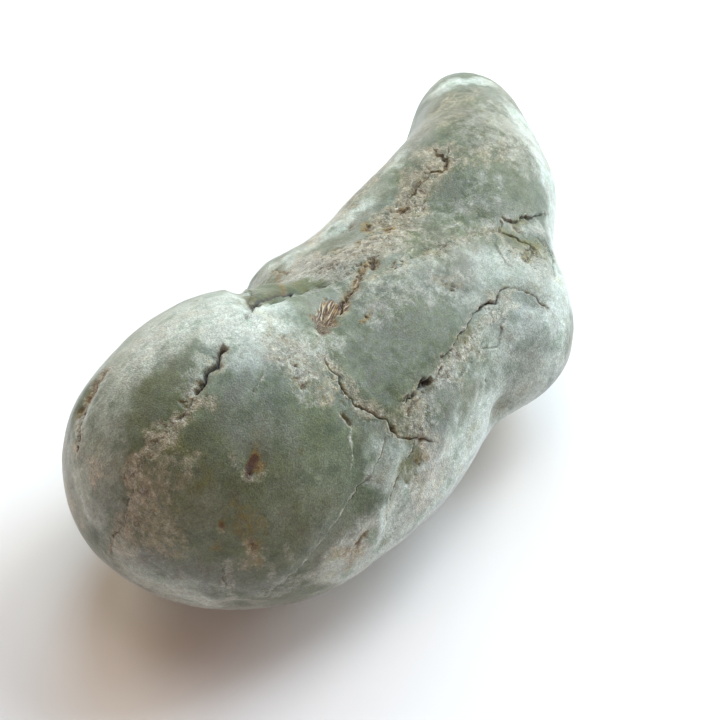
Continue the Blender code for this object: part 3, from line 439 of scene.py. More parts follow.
        "bandPitOne": (1.0, 0.5, 0.7, [(5.8, 20.4)]),
        "bandPitTwo": (1.0, 0.45, 0.7, [(1.2, 18.3)]),
        "bandPitThree": (1.0, 0.55, 0.8, [(3.7, 17.8)]),
    },
    "rust": {  # dark rust at the heart of the ochre
        "core": (1.0, 0.45, 0.5, [(-15.1, -15.7), (-15.0, -14.9), (-14.5, -13.8)]),
        "lowSpot": (0.8, 0.15, 0.5, [(-19.0, -22.3)]),
        "lowStreakCore": (0.6, 0.1, 0.5, [(-14.9, -24.7), (-14.9, -25.9)]),
        "fissure": (0.8, 0.15, 0.6, [(1.7, 13.6), (1.9, 13.2)]),
        "needleRust": (0.6, 0.1, 0.7, [(-2.6, 6.8), (-1.6, 8.4), (0.2, 11.4)]),
        "stripRust": (0.5, 0.1, 0.5, [(-2.0, 8.4), (-1.0, 10.0), (0.8, 12.4)]),
        "bandRustOne": (0.7, 0.2, 0.45, [(5.8, 20.3)]),
        "bandRustTwo": (0.7, 0.2, 0.45, [(1.3, 18.2)]),
        "bandRustThree": (0.7, 0.25, 0.5, [(3.7, 17.7)]),
        "nubVeinDark": (0.4, 0.05, 0.25, [(-11.6, 11.5), (-11.0, 10.6), (-10.6, 9.6), (-10.6, 8.8)]),
    },
    "dark": {  # shade and dirt
        "recessShade": (0.08, 0.4, 1.6, [(18.3, -7.2), (19.8, -8.4)]),
        "rustDark": (0.5, 0.25, 0.35, [(-15.1, -15.9), (-15.0, -15.0)]),
        "nubDark": (0.5, 0.1, 0.8, [(-14.6, 7.6), (-12.2, 8.8), (-9.8, 9.2), (-7.2, 10.0), (-5.4, 10.5)]),
        "fissure": (0.5, 0.1, 0.4, [(-2.4, 8.0), (-1.6, 9.0)]),
        "nubFootDark": (0.5, 0.3, 1.2, [(-15.4, 8.2), (-14.5, 7.3)]),
        "cushionLow": (0.28, 1.0, 2.6, [(0.6, -0.6), (2.1, -3.0)]),
        "jointShade": (0.2, 0.6, 2.4, [(7.6, -6.4), (9.6, -8.6)]),
        "nubLow": (0.3, 0.4, 1.6, [(-13.6, 8.6), (-11.4, 9.2), (-8.6, 9.8)]),
        "neckShade": (0.32, 1.4, 3.4, [(7.6, 19.0), (10.4, 17.4), (12.4, 14.4), (14.4, 11.4)]),
        "tipShade": (0.2, 1.2, 3.4, [(15.0, 32.6), (14.6, 30.0)]),
        # painted shadow in the gap along the lobe's edge below the nub
        "cleftLine": (1.0, 0.24, 0.3, [(-14.9, 7.5), (-13.6, 8.35), (-11.9, 8.95), (-10.2, 9.15),
            (-9.2, 9.5)]),
        "notchDark": (0.4, 0.5, 0.9, [(-15.9, 8.9), (-15.1, 8.0)]),
        "tipShadeHigh": (0.3, 1.6, 3.0, [(15.0, 34.0), (15.4, 31.0)]),
        "flankShadeTwo": (0.2, 1.6, 3.4, [(12.4, -5.5), (9.5, -8.0)]),
        "shoulderShadeRight": (0.22, 2.0, 4.0, [(24.5, 5.5), (22.5, 1.5)]),
        "cushionShadeWide": (0.16, 2.4, 4.0, [(2.0, 0.5), (5.0, 3.0)]),
    },
    "needle": {  # the cluster of ochre fibres, which fans out from the middle of the bed
        "bed": (1.0, 1.0, 1.0, [(-5.2, 4.6), (-4.2, 6.0), (-3.2, 7.3)]),
        "top": (0.6, 0.1, 0.7, [(-2.2, 8.2), (-1.2, 9.8), (-0.1, 11.4)]),
    },
    "pock": {  # ragged little holes
        "far": (1.0, 0.4, 0.9, [(3.4, 17.6), (4.4, 18.2)]),
        "farTwo": (1.0, 0.4, 0.7, [(1.2, 18.7), (1.4, 17.4)]),
        "farEnd": (1.0, 0.4, 0.8, [(5.4, 20.2), (6.4, 20.8)]),
        "high": (0.9, 0.3, 0.6, [(7.3, 22.9)]),
        "near": (0.8, 0.3, 0.8, [(-0.4, 16.2), (0.2, 16.1)]),
        "nearTwo": (0.8, 0.4, 0.9, [(-3.9, 15.0), (-2.2, 15.1)]),
        "left": (0.7, 0.4, 0.9, [(-2.4, 17.6), (-1.4, 17.4)]),
        "middle": (0.9, 0.5, 0.9, [(0.4, 13.4), (1.8, 13.4)]),
        "band": (0.62, 1.8, 2.4, [(-6.0, 12.8), (0.0, 14.8), (4.0, 18.0), (7.0, 22.0)]),
        "fissure": (0.8, 0.3, 0.8, [(3.0, 12.6), (6.6, 14.2), (11.0, 15.9)]),
        "cushion": (0.6, 0.3, 1.1, [(10.8, 10.6), (13.0, 10.4)]),
        "notch": (0.9, 0.15, 0.5, [(-0.2, 5.2), (0.9, 5.9), (1.8, 6.6)]),
        "saddle": (0.5, 0.7, 1.2, [(-8.8, -0.4), (-8.0, -3.4)]),
        "slit": (0.5, 0.5, 1.0, [(-23.2, -3.4), (-25.0, -7.4)]),
        "seam": (0.4, 0.6, 1.4, [(-27.4, -10.0), (-30.4, -15.0), (-32.4, -21.0)]),
        "leftGroove": (0.9, 0.3, 0.8, [(-35.4, -2.4), (-38.6, -8.0), (-38.6, -12.0)]),
        "chip": (0.75, 1.0, 1.4, [(21.6, 15.0), (23.6, 14.4), (25.4, 15.8)]),
        "shoulder": (0.5, 0.5, 1.4, [(18.6, 7.2), (13.0, -0.4), (9.6, -4.0), (8.0, -8.0)]),
        "step": (0.6, 0.4, 1.0, [(8.4, -12.0), (6.6, -17.0)]),
        "belly": (0.35, 0.3, 0.9, [(-4.6, -1.8), (0.4, -7.6), (5.0, -10.8)]),
        "flank": (0.4, 0.5, 1.4, [(-2.6, -26.6), (-1.0, -27.2)]),
        "top": (0.6, 0.3, 0.9, [(8.9, 25.4), (12.0, 27.4)]),
        "bandNear": (0.5, 0.6, 1.6, [(-2.0, 11.6), (-6.4, 9.4)]),
        "strip": (0.95, 0.4, 0.8, [(-2.4, 8.0), (-1.2, 9.8), (0.2, 12.0), (1.6, 13.4)]),
    },
}
layerNames = (*marks, "rough")

# The flat pale flake that is left standing in the chip on the shoulder.
flake = {"route": [(22.5, 18.0), (24.6, 18.1)], "radius": 1.3, "height": 0.3, "edge": 0.35}
# name: place on the front sheet, radius and depth in mm; a swelling has a depth below zero
dents = {
    "nub": ((-12.2, 10.0), 2.0, -0.5),
    "fragment": ((7.4, -5.5), 1.0, -0.45),
    "fragmentLeft": ((4.4, -4.9), 1.0, 0.2),
}
# the saddle between the lobe and the nub, on the front sheet: (across, highest up) in mm
notch = [(-19.0, 9.7), (-17.9, 9.2), (-16.8, 8.7), (-16.1, 8.1), (-15.85, 9.2), (-15.55, 10.3),
         (-15.3, 11.2)]
strayPits = {"count": 70, "radius": (0.14, 0.28), "depth": (0.05, 0.14), "dark": (0, 0.2),
             "ochre": (0, 0.4), "seed": 11}


def roundedRoute(corners, stepMm=0.4):
    # a smooth curve through the corners, cut into even steps
    if len(corners) == 1:
        return corners
    ends = [2 * corners[0] - corners[1], *corners, 2 * corners[-1] - corners[-2]]
    curve = []
    for before, start, end, after in zip(ends[:-3], ends[1:-2], ends[2:-1], ends[3:]):
        for t in np.linspace(0, 1, 12, endpoint=False):
            pull = (end - before) * t + (2 * before - 5 * start + 4 * end - after) * t**2
            curve.append(start + 0.5 * (pull + (3 * start - before - 3 * end + after) * t**3))
    curve = np.array([*curve, corners[-1]])
    travelled = np.concatenate([[0], np.cumsum(np.linalg.norm(np.diff(curve, axis=0), axis=1))])
    stations = np.linspace(0, travelled[-1], max(3, int(travelled[-1] / stepMm)))
    return np.stack([np.interp(stations, travelled, curve[:, k]) for k in (0, 1)], axis=-1)


def lineOnSkin(tree, route, sheetName="front"):
    # the route as a line of points on the skin, in mm
    places = roundedRoute(np.array(route, dtype=float))
    spots = [placeOnSkin(tree, place, sheetName) for place in places]
    return np.array([spot for spot in spots if spot is not None])


def meshArrays(mesh, scale=1.0):
    mesh.calc_loop_triangles()
    points = np.empty(len(mesh.vertices) * 3)
    mesh.vertices.foreach_get("co", points)
    faces = np.empty(len(mesh.loop_triangles) * 3, dtype=np.int32)
    mesh.loop_triangles.foreach_get("vertices", faces)
    return points.reshape(-1, 3) * scale, faces.reshape(-1, 3)


def neighbourMean(values, faces):
    ends = np.concatenate([faces[:, [0, 1]], faces[:, [1, 2]], faces[:, [2, 0]]])
    count = np.bincount(ends[:, 0], minlength=len(values))
    sums = [np.bincount(ends[:, 0], weights=values[ends[:, 1], k], minlength=len(values))
            for k in range(values.shape[1])]
    return np.stack(sums, axis=-1) / count[:, None]


def melted(points, faces, rounds):
    # smoothing that doesn't shrink the stone: one step in, a little more out
    for _ in range(rounds):
        points = points + 0.55 * (neighbourMean(points, faces) - points)
        points = points - 0.57 * (neighbourMean(points, faces) - points)
    return points


def skinNormals(points, faces):
    corners = points[faces]
    across = np.cross(corners[:, 1] - corners[:, 0], corners[:, 2] - corners[:, 0])
    normals = np.zeros_like(points)
    for k in range(3):
        for axis in range(3):
            normals[:, axis] += np.bincount(faces[:, k], weights=across[:, axis],
                                            minlength=len(points))
    return normals / np.linalg.norm(normals, axis=1, keepdims=True)


def waveHeight(points, length, seed=0.0):
    shift = Vector((seed, seed * 0.7, -seed))
    return np.array([noise.noise(Vector(p) / length + shift) for p in points])


def wander(points, length, size, seed):
    # how far a small-scale jitter pushes each point, so no crack's edge is ruled
    return size * np.stack([waveHeight(points, length, seed + 7.3 * k) for k in range(3)], axis=-1)


def nearRoute(points, normals, line, reach):
    # distance, signed side, and share of the way along, for points within reach of the line
    inBox = np.flatnonzero(((points > line.min(axis=0) - reach)
                            & (points < line.max(axis=0) + reach)).all(axis=1))
    spots = points[inBox]
    if len(line) == 1:
        distance = np.linalg.norm(spots - line[0], axis=1)
        kept = distance < reach
        return inBox[kept], distance[kept], np.ones(kept.sum()), np.full(kept.sum(), 0.5)
    best = np.full(len(inBox), np.inf)
    side = np.zeros(len(inBox))
    along = np.zeros(len(inBox))
    for i, (start, end) in enumerate(zip(line[:-1], line[1:])):
        leg = end - start
        length = np.linalg.norm(leg) + 1e-9
        share = np.clip(((spots - start) @ leg) / length**2, 0, 1)
        gap = spots - start - share[:, None] * leg
        distance = np.linalg.norm(gap, axis=1)
        nearer = distance < best
        best[nearer] = distance[nearer]
        left = np.cross(normals[inBox][nearer], leg / length)
        side[nearer] = np.sign(np.einsum("ij,ij->i", gap[nearer], left))
        along[nearer] = i + share[nearer]
    kept = best < reach
    return inBox[kept], best[kept], side[kept], along[kept] / (len(line) - 1)


def halvedEdges(points, faces, wanted):
    # halves each edge that is much longer than wanted at either end
    sides = np.stack([faces, np.roll(faces, -1, axis=1)], axis=-1).reshape(-1, 2)
    edges, edgeOf = np.unique(np.sort(sides, axis=1), axis=0, return_inverse=True)
    lengths = np.linalg.norm(points[edges[:, 0]] - points[edges[:, 1]], axis=1)
    chosen = lengths > 1.3 * wanted[edges].min(axis=1)
    middleOf = np.full(len(edges), -1)
    middleOf[chosen] = len(points) + np.arange(chosen.sum())
    middles = middleOf[edgeOf.reshape(-1, 3)]
    grown = np.concatenate([points, points[edges[chosen]].mean(axis=1)])
    count = (middles >= 0).sum(axis=1)
    turn = np.where(count == 1, (middles >= 0).argmax(axis=1), (middles < 0).argmax(axis=1) + 1)
    turn[(count == 0) | (count == 3)] = 0
    order = (turn[:, None] + np.arange(3)) % 3
    a, b, c = np.take_along_axis(faces, order, axis=1).T
    ab, bc, ca = np.take_along_axis(middles, order, axis=1).T
    one = count == 1
    three = count == 3
    toBc = np.linalg.norm(grown[a] - grown[bc], axis=1) < np.linalg.norm(grown[c] - grown[ab], axis=1)
    two = (count == 2) & toBc
    twoOther = (count == 2) & ~toBc
    pieces = [(count == 0, a, b, c), (one, a, ab, c), (one, ab, b, c),
              (three, a, ab, ca), (three, ab, b, bc), (three, ca, bc, c), (three, ab, bc, ca),
              (two, ab, b, bc), (two, a, ab, bc), (two, a, bc, c),
              (twoOther, ab, b, bc), (twoOther, a, ab, c), (twoOther, ab, bc, c)]
    return grown, np.concatenate([np.stack([p[rows], q[rows], r[rows]], axis=-1)
                                  for rows, p, q, r in pieces])


def wantedEdges(points, normals, lines, pitSpots, tree):
    # how short the edges should be round each point, in mm
    wanted = np.full(len(points), np.inf)
    features = [(line, cracks[name]["width"] / 2, "crack") for name, line in lines.items()]
    features += [(spot[None, :], radius, "crack") for spot, radius, *_ in pitSpots]
    for kind in marks:
        if kind in skin["edges"]:
            features += [(lineOnSkin(tree, route, *sheetName), radius + 0.4 * soft, kind)
                         for _, radius, soft, route, *sheetName in marks[kind].values()]
    for line, radius, kind in features:
        found, distance, _, _ = nearRoute(points, normals, line, radius + 1.2)
        beyond = np.clip(distance - radius, 0, None)
        wanted[found] = np.minimum(wanted[found], skin["edges"][kind] + 0.4 * beyond)
    return wanted


def healed(points, faces, lines):
    # draws the skin tight across the solid's grooves, all but the deep cleft
    reach, rounds = skin["healing"]
    normals = skinNormals(points, faces)
    near = np.zeros(len(points), dtype=bool)
    for name, line in lines.items():
        if name != "cleft":
            near[nearRoute(points, normals, line, reach)[0]] = True
    for _ in range(rounds):
        points = np.where(near[:, None], neighbourMean(points, faces), points)
    return points


def dented(points, faces):
    # smooth dips pressed into the plain skin, and swellings raised from it
    normals = skinNormals(points, faces)
    tree = BVHTree.FromPolygons(points.tolist(), faces.tolist())
    for place, radius, depth in dents.values():
        distance = np.linalg.norm(points - placeOnSkin(tree, place), axis=1)
        points = points - normals * (depth * np.exp(-((distance / radius) ** 2)))[:, None]
    return points


def notched(points, faces):
    # a small valley worn across the saddle, along the line of sight
    sheet = sheets["front"]
    look, across, up = (np.array(axis) for axis in sheetAxes(sheet))
    seen = points - (np.array(sheet["middle"]) - look * sheet["eye"])
    scale = sheet["eye"] / (seen @ look)
    highest = np.interp((seen @ across) * scale, *zip(*notch), left=math.inf, right=math.inf)
    excess = np.clip((seen @ up) * scale - highest, 0, None)
    drop = excess - 0.25 * (1 - np.exp(-excess / 0.25))
    points = points - np.outer(drop / scale, up)
    for _ in range(2):
        points = np.where((drop > 0.05)[:, None], neighbourMean(points, faces), points)
    return points


def plainSkin():
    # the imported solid's mesh, evenly remeshed and freed of its facets, in mm
    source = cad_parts[stoneNode]
    mesh = source.data.copy()
    mesh.transform(source.matrix_world)
    mesh.materials.clear()
    helper = bpy.data.objects.new("plainSkin", mesh)
    bpy.context.scene.collection.objects.link(helper)
    remesh = helper.modifiers.new("even", "REMESH")
    remesh.mode = "VOXEL"
    remesh.voxel_size = skin["voxel"] * mm
    graph = bpy.context.evaluated_depsgraph_get()
    even = bpy.data.meshes.new_from_object(helper.evaluated_get(graph))
    points, faces = meshArrays(even, 1 / mm)
    bpy.data.objects.remove(helper, do_unlink=True)
    bpy.data.meshes.remove(even)
    return melted(points, faces, skin["smoothing"]), faces


def raiseTo(values, found, new):
    values[found] = np.maximum(values[found], new)


def carveCracks(points, normals, lines, lift, layers):
    for name, line in lines.items():
        crack = cracks[name]
        half = crack["width"] / 2
        found, distance, side, along = nearRoute(points, normals, line, 4.5)
        taper = np.clip(np.minimum(along, 1 - along) * 7 + 0.25, 0, 1)
        patchy = np.clip(0.5 + 1.9 * waveHeight(points[found], 1.6, 41.0), 0, 1)
        wide = half * (0.45 + 0.55 * taper) * (0.8 + 0.6 * patchy)
        lipSide = {"left": 1, "right": -1, "": 0}[crack["lip"]]
        proud = np.clip(side * lipSide * distance / (0.5 * half), -1, 1) * np.exp(-distance / 1.6)
        lift[found] += crack["step"] * taper * proud
        core = np.exp(-((distance / wide) ** 2))
        lift[found] -= crack["depth"] * taper * core
        # the core is painted dark: painted shade and dirt
        raiseTo(layers["dark"], found, crack["dark"] * taper * np.clip(1.6 * core - 0.35, 0, 1))
        stained = np.exp(-((distance / (half + 0.4)) ** 2))
        raiseTo(layers["ochre"], found, crack["ochre"] * taper * patchy * stained)
        band = np.exp(-((distance / crack["reach"]) ** 2))
        raiseTo(layers["crust"], found, crack["crust"] * band * patchy)
        # the lip's pale rim: worn crystals and painted highlight where the edge catches the light
        rim = np.exp(-(((distance - wide - 0.1) / 0.16) ** 2)) * (side * lipSide > 0)
        raiseTo(layers["frost"], found, 0.75 * taper * patchy * rim)


def carvePits(points, spots, lift, layers):
    for spot, radius, depth, dark, ochre in spots:
        distance = np.linalg.norm(points - spot, axis=1)
        near = np.flatnonzero(distance < 3 * radius)
        share = distance[near] / radius
        lift[near] -= depth * np.exp(-(share ** 2))
        # the bottom is painted dark: painted shade and dirt
        raiseTo(layers["dark"], near, dark * np.exp(-((share / 0.6) ** 2)))
        raiseTo(layers["ochre"], near, ochre * np.exp(-((share / 1.1) ** 2)))


def paintMarks(points, drift, normals, tree, layers):
    # a mark's outline wanders in proportion to its size
    for kind, places in marks.items():
        for strength, radius, soft, route, *sheetName in places.values():
            line = lineOnSkin(tree, route, *sheetName)
            moved = points + drift * min(1, (radius + soft) / skin["drift"])
            found, distance, _, _ = nearRoute(moved, normals, line, radius + soft)
            inside = np.clip(1 - (distance - radius) / soft, 0, 1)
            raiseTo(layers[kind], found, strength * inside * inside * (3 - 2 * inside))


def needleWay(tree):
    # the middle of the fan, and its way: along the skin, and seen from the eye steeply up to the right
    look, across, up = sheetAxes(sheets["front"])
    middleOfBed = marks["needle"]["bed"][3][1]
    bed = Vector(placeOnSkin(tree, middleOfBed))
    normal = tree.find_nearest(bed)[1]
    seen = across * 0.42 + up * 0.91
    return bed, (seen - look * (seen.dot(normal) / look.dot(normal))).normalized()


def crumbleCrust(points, lift, layers):
    # crumbly crust: hollows hold brown dirt, crests are worn pale
    layers["rough"] = np.clip(layers["crust"] + 0.8 * layers["frost"] + 0.8 * layers["pink"], 0, 1)
    crumb = np.zeros(len(points))
    for i, (length, size) in enumerate(skin["crumbs"]):
        crumb += size * waveHeight(points, length, 31.0 + i)
    lift += layers["rough"] * crumb
    dirty = np.clip(layers["crust"] + layers["pink"] + 0.5 * layers["frost"], 0, 1)
    raiseTo(layers["rust"], slice(None), 0.6 * dirty * np.clip(-crumb / 0.05 - 0.7, 0, 1))


def openPocks(points, lift, layers):
    # pocks: ragged holes wherever a noise runs high, with rust in the deepest
    pock = skin["pocks"]
    hole = sum(share * waveHeight(points, pock["size"] * times, 53.0)
               for share, times in ((0.8, 1.0), (0.5, 0.5), (0.9, 2.6)))
    hole = layers["pock"] * np.clip((hole - pock["start"] - 0.25 * (1 - layers["pock"])) / 0.3, 0, 1)
    lift -= pock["depth"] * hole
    stained = np.clip(2.5 * layers["pock"] - 1.3, 0, 1)
    raiseTo(layers["ochre"], slice(None), stained * np.clip(hole, 0, 0.85))
    raiseTo(layers["rust"], slice(None), stained * np.clip(hole - 0.35, 0, 0.6))
    layers["rough"] = np.clip(layers["rough"] + hole, 0, 1)


def raiseFibres(points, tree, lift, layers):
    # fibres: a noise drawn out along the fan the needles make in the skin
    needle = skin["needles"]
    bed, way = needleWay(tree)
    beside = way.cross(tree.find_nearest(bed)[1]).normalized()
    fromFocus = points - np.array(bed - way * needle["spread"])
    ahead, aside = fromFocus @ np.array(way), fromFocus @ np.array(beside)
    fan = np.stack([np.hypot(ahead, aside), np.arctan2(aside, ahead) * needle["spread"],
                    np.zeros(len(points))], axis=-1)
    tufts = waveHeight(fan * needle["tufts"], 1.0, 71.0)
    layers["needle"] *= np.clip(2.2 * layers["needle"] + 2.0 * tufts, 0, 1)
    lift += needle["height"] * layers["needle"] * (tufts - 0.3)
    return fan


def standFlake(jittered, normals, tree, lift, layers):
    plate = lineOnSkin(tree, flake["route"])
    found, distance, _, _ = nearRoute(jittered, normals, plate, flake["radius"])
    lift[found] += flake["height"] * np.clip((flake["radius"] - distance) / flake["edge"], 0, 1)
    raiseTo(layers["frost"], found, 0.5)


def allPits(points, tree):
    # the named pits, then stray ones at random places
    spots = [(placeOnSkin(tree, place, sheetName), *rest)
             for sheetName, rows in pits.items() for place, *rest in rows]
    spots = [pit for pit in spots if pit[0] is not None]
    dice = np.random.default_rng(strayPits["seed"])
    for spot in points[dice.choice(len(points), strayPits["count"], replace=False)]:
        drawn = [dice.uniform(*strayPits[key]) for key in ("radius", "depth", "dark", "ochre")]
        spots.append((spot, *drawn))
    return spots


def refinedSkin():
    # the plain skin with its dents, and finer wherever something is cut or painted
    points, faces = plainSkin()
    print("plain skin:", len(points), "points")
    for closing in (True, False):
        tree = BVHTree.FromPolygons(points.tolist(), faces.tolist())
        lines = {name: lineOnSkin(tree, crack["route"], crack["sheet"]) for name, crack in cracks.items()}
        if closing:
            points = notched(dented(healed(points, faces, lines), faces), faces)
    pitSpots = allPits(points, tree)
    for _ in range(3):
        wanted = wantedEdges(points, skinNormals(points, faces), lines, pitSpots, tree)
        points, faces = halvedEdges(points, faces, wanted)
        print("refined skin:", len(points), "points,", len(faces), "triangles")
    return points, faces, tree, lines, pitSpots


def stoneMesh(points, faces, layers, fan):
    mesh = bpy.data.meshes.new("jadeStone")
    mesh.from_pydata((points * mm).tolist(), [], faces.tolist())
    mesh.shade_smooth()
    for kind, values in layers.items():
        if kind != "pock":
            mesh.attributes.new(kind, "FLOAT", "POINT").data.foreach_set("value", np.clip(values, 0, 1))
    mesh.attributes.new("fan", "FLOAT_VECTOR", "POINT").data.foreach_set("vector", fan.ravel())
    return mesh


def buildStone():
    points, faces, tree, lines, pitSpots = refinedSkin()
    normals = skinNormals(points, faces)
    lift = np.zeros(len(points))
    for length, size in skin["waves"]:
        lift += size * waveHeight(points, length)
    layers = {kind: np.zeros(len(points)) for kind in layerNames}
    jitter = wander(points, 2.4, 0.6, 3.0) + wander(points, 0.7, 0.34, 9.0)
    jittered = points + jitter - normals * np.einsum("ij,ij->i", jitter, normals)[:, None]
    carveCracks(jittered, normals, lines, lift, layers)
    carvePits(points + wander(points, 0.7, 0.4, 5.0), pitSpots, lift, layers)
    drift = wander(points, 3.2, 2.0, 17.0) + wander(points, 1.1, 1.2, 23.0)
    paintMarks(points, drift, normals, tree, layers)
    crumbleCrust(points, lift, layers)
    openPocks(points, lift, layers)
    fan = raiseFibres(points, tree, lift, layers)
    standFlake(jittered, normals, tree, lift, layers)

    points = points + normals * lift[:, None]
    points = np.clip(points, np.array(cadBox[0]) / mm, np.array(cadBox[1]) / mm)
    stone = bpy.data.objects.new("jadeStone", stoneMesh(points, faces, layers, fan))
    bpy.context.scene.collection.objects.link(stone)
    print("stone:", len(faces), "triangles")
    return stone


jade = {
    "sage": "#5a664e",
    "paleSage": "#7b7f72",
    "green": "#4e6850",
    "tan": "#948468",
    "dirt": "#8a744c",
    "white": "#d5d2c5",
    "fleck": "#b5b8a8",
    # noises: size in mm, detail and roughness
    "patches": (9.0, 3.0, 0.5),    # green and pale areas
    "mottling": (3.0, 4.0, 0.6),   # greener and warmer spots
    "clouds": (2.4, 6.0, 0.65),    # clouding inside a patch
    "crystals": (0.8, 2.0, 0.5),   # coarse jadeite crystals
    "crumble": (0.7, 5.0, 0.7),    # broken crystals of the crust
    "dust": (0.2, 1.0, 0.5),       # worn bruises; real ones are finer and wouldn't show
    "grain": 0.32,                 # mm, fine crystals, each its own shade
    "spreads": {"clouds": 0.2, "crystals": 0.12, "grains": 0.1, "dust": 0.22},  # of brightness
    # relief, in mm: height of the grains, the dust, the crystals, the crust and the fibres
    "relief": {"grains": 0.09, "dust": 0.22, "crystals": 0.2, "crumble": 0.35, "fibre": 0.3},
    "smoothRelief": 0.25,          # share of the fine relief that is left where the skin is tight
    "fibre": (0.55, 6.5, 1.0),  # fibres for each mm along and across the fan
    "roughness": 0.62,
    "fibres": ((0.44, "#3a2208"), (0.52, "#6c4a18"), (0.58, "#94794a"), (0.66, "#cdc6b0")),
}

# Typical of jadeite: a dense, clear stone whose worn skin scatters light softly within 1 mm.
jadeFinish = {
    "IOR": 1.66,
    "Metallic": 0.0,
    "Sheen Weight": 0.6,  # the frosted bloom of the unpolished skin
    "Sheen Roughness": 0.3,
    "Subsurface Weight": 0.15,
    "Subsurface Radius": (1.0, 1.0, 0.8),
    "Subsurface Scale": 1.0 * mm,
}

# Over the body colour, in this order: painted layer, colour, most of it that shows, size in mm of
# the largest flecks that break it up, and how strongly they do. The mottling lies between the two.
# The mint colour also paints highlight, and the deep colour also paints shade.
jadeTints = [
    ("mintAndHighlight", "#c1c9c0", 0.9, 4.0, 1.2),
    ("deep", "#50592f", 0.85, 4.0, 1.6),
    ("violet", "#787c7c", 0.55, 3.0, 2.2),
]
# The dark colour paints shade as well as dirt; olive, frost and crust also paint some shade and
# highlight.
jadeLayers = [
    ("pink", "#b0a38a", 0.72, 1.4, 3.4),
    ("crust", "#b5aa8e", 0.75, 1.2, 2.4),
    ("frost", "#bdbeb2", 0.65, 1.5, 3.2),
    ("olive", "#5d5c20", 0.75, 1.8, 1.8),
    ("ochre", "#7d6420", 0.95, 1.0, 1.6),
    ("rust", "#482600", 1.0, 0.7, 0.4),
    ("dark", "#1d1707", 0.95, 0.5, 0.4),
]


def addNode(tree, kind, settings=None, links=None):
    # settings: attributes and input values by name or number; links: input -> output socket
    node = tree.nodes.new(kind)
    for key, value in (settings or {}).items():
        if isinstance(key, str) and hasattr(node, key):
            setattr(node, key, value)
        else:
            node.inputs[key].default_value = value
    for key, socket in (links or {}).items():
        tree.links.new(socket, node.inputs[key])
    return node


def paintedOver(tree, colour, layer, place):
    # lays one painted layer over the colour, broken up by flecks
    name, hexCode, most, fleck, breakUp = layer
    painted = addNode(tree, "ShaderNodeAttribute", {"attribute_name": name}).outputs["Fac"]
    flecks = addNode(tree, "ShaderNodeTexNoise", {"Scale": 1000 / fleck, "Detail": 5.0,
                                                  "Roughness": 0.72}, {"Vector": place})
    centred = addNode(tree, "ShaderNodeMath", {"operation": "MULTIPLY_ADD", 1: breakUp,
                                               2: -0.5 * breakUp}, {0: flecks.outputs["Fac"]})
    broken = addNode(tree, "ShaderNodeMath", {"operation": "ADD"},
                     {0: painted, 1: centred.outputs[0]})
    share = addNode(tree, "ShaderNodeMapRange", {"From Min": 0.02, "From Max": 1.0, "To Max": most},
                    {"Value": broken.outputs[0]})
    edge = addNode(tree, "ShaderNodeMapRange", {"From Max": 0.12}, {"Value": painted})
    shown = addNode(tree, "ShaderNodeMath", {"operation": "MULTIPLY"},
                    {0: share.outputs["Result"], 1: edge.outputs["Result"]})
    return addNode(tree, "ShaderNodeMix", {"data_type": "RGBA", 7: linearColour(hexCode)},
                   {0: shown.outputs[0], 6: colour}).outputs[2]


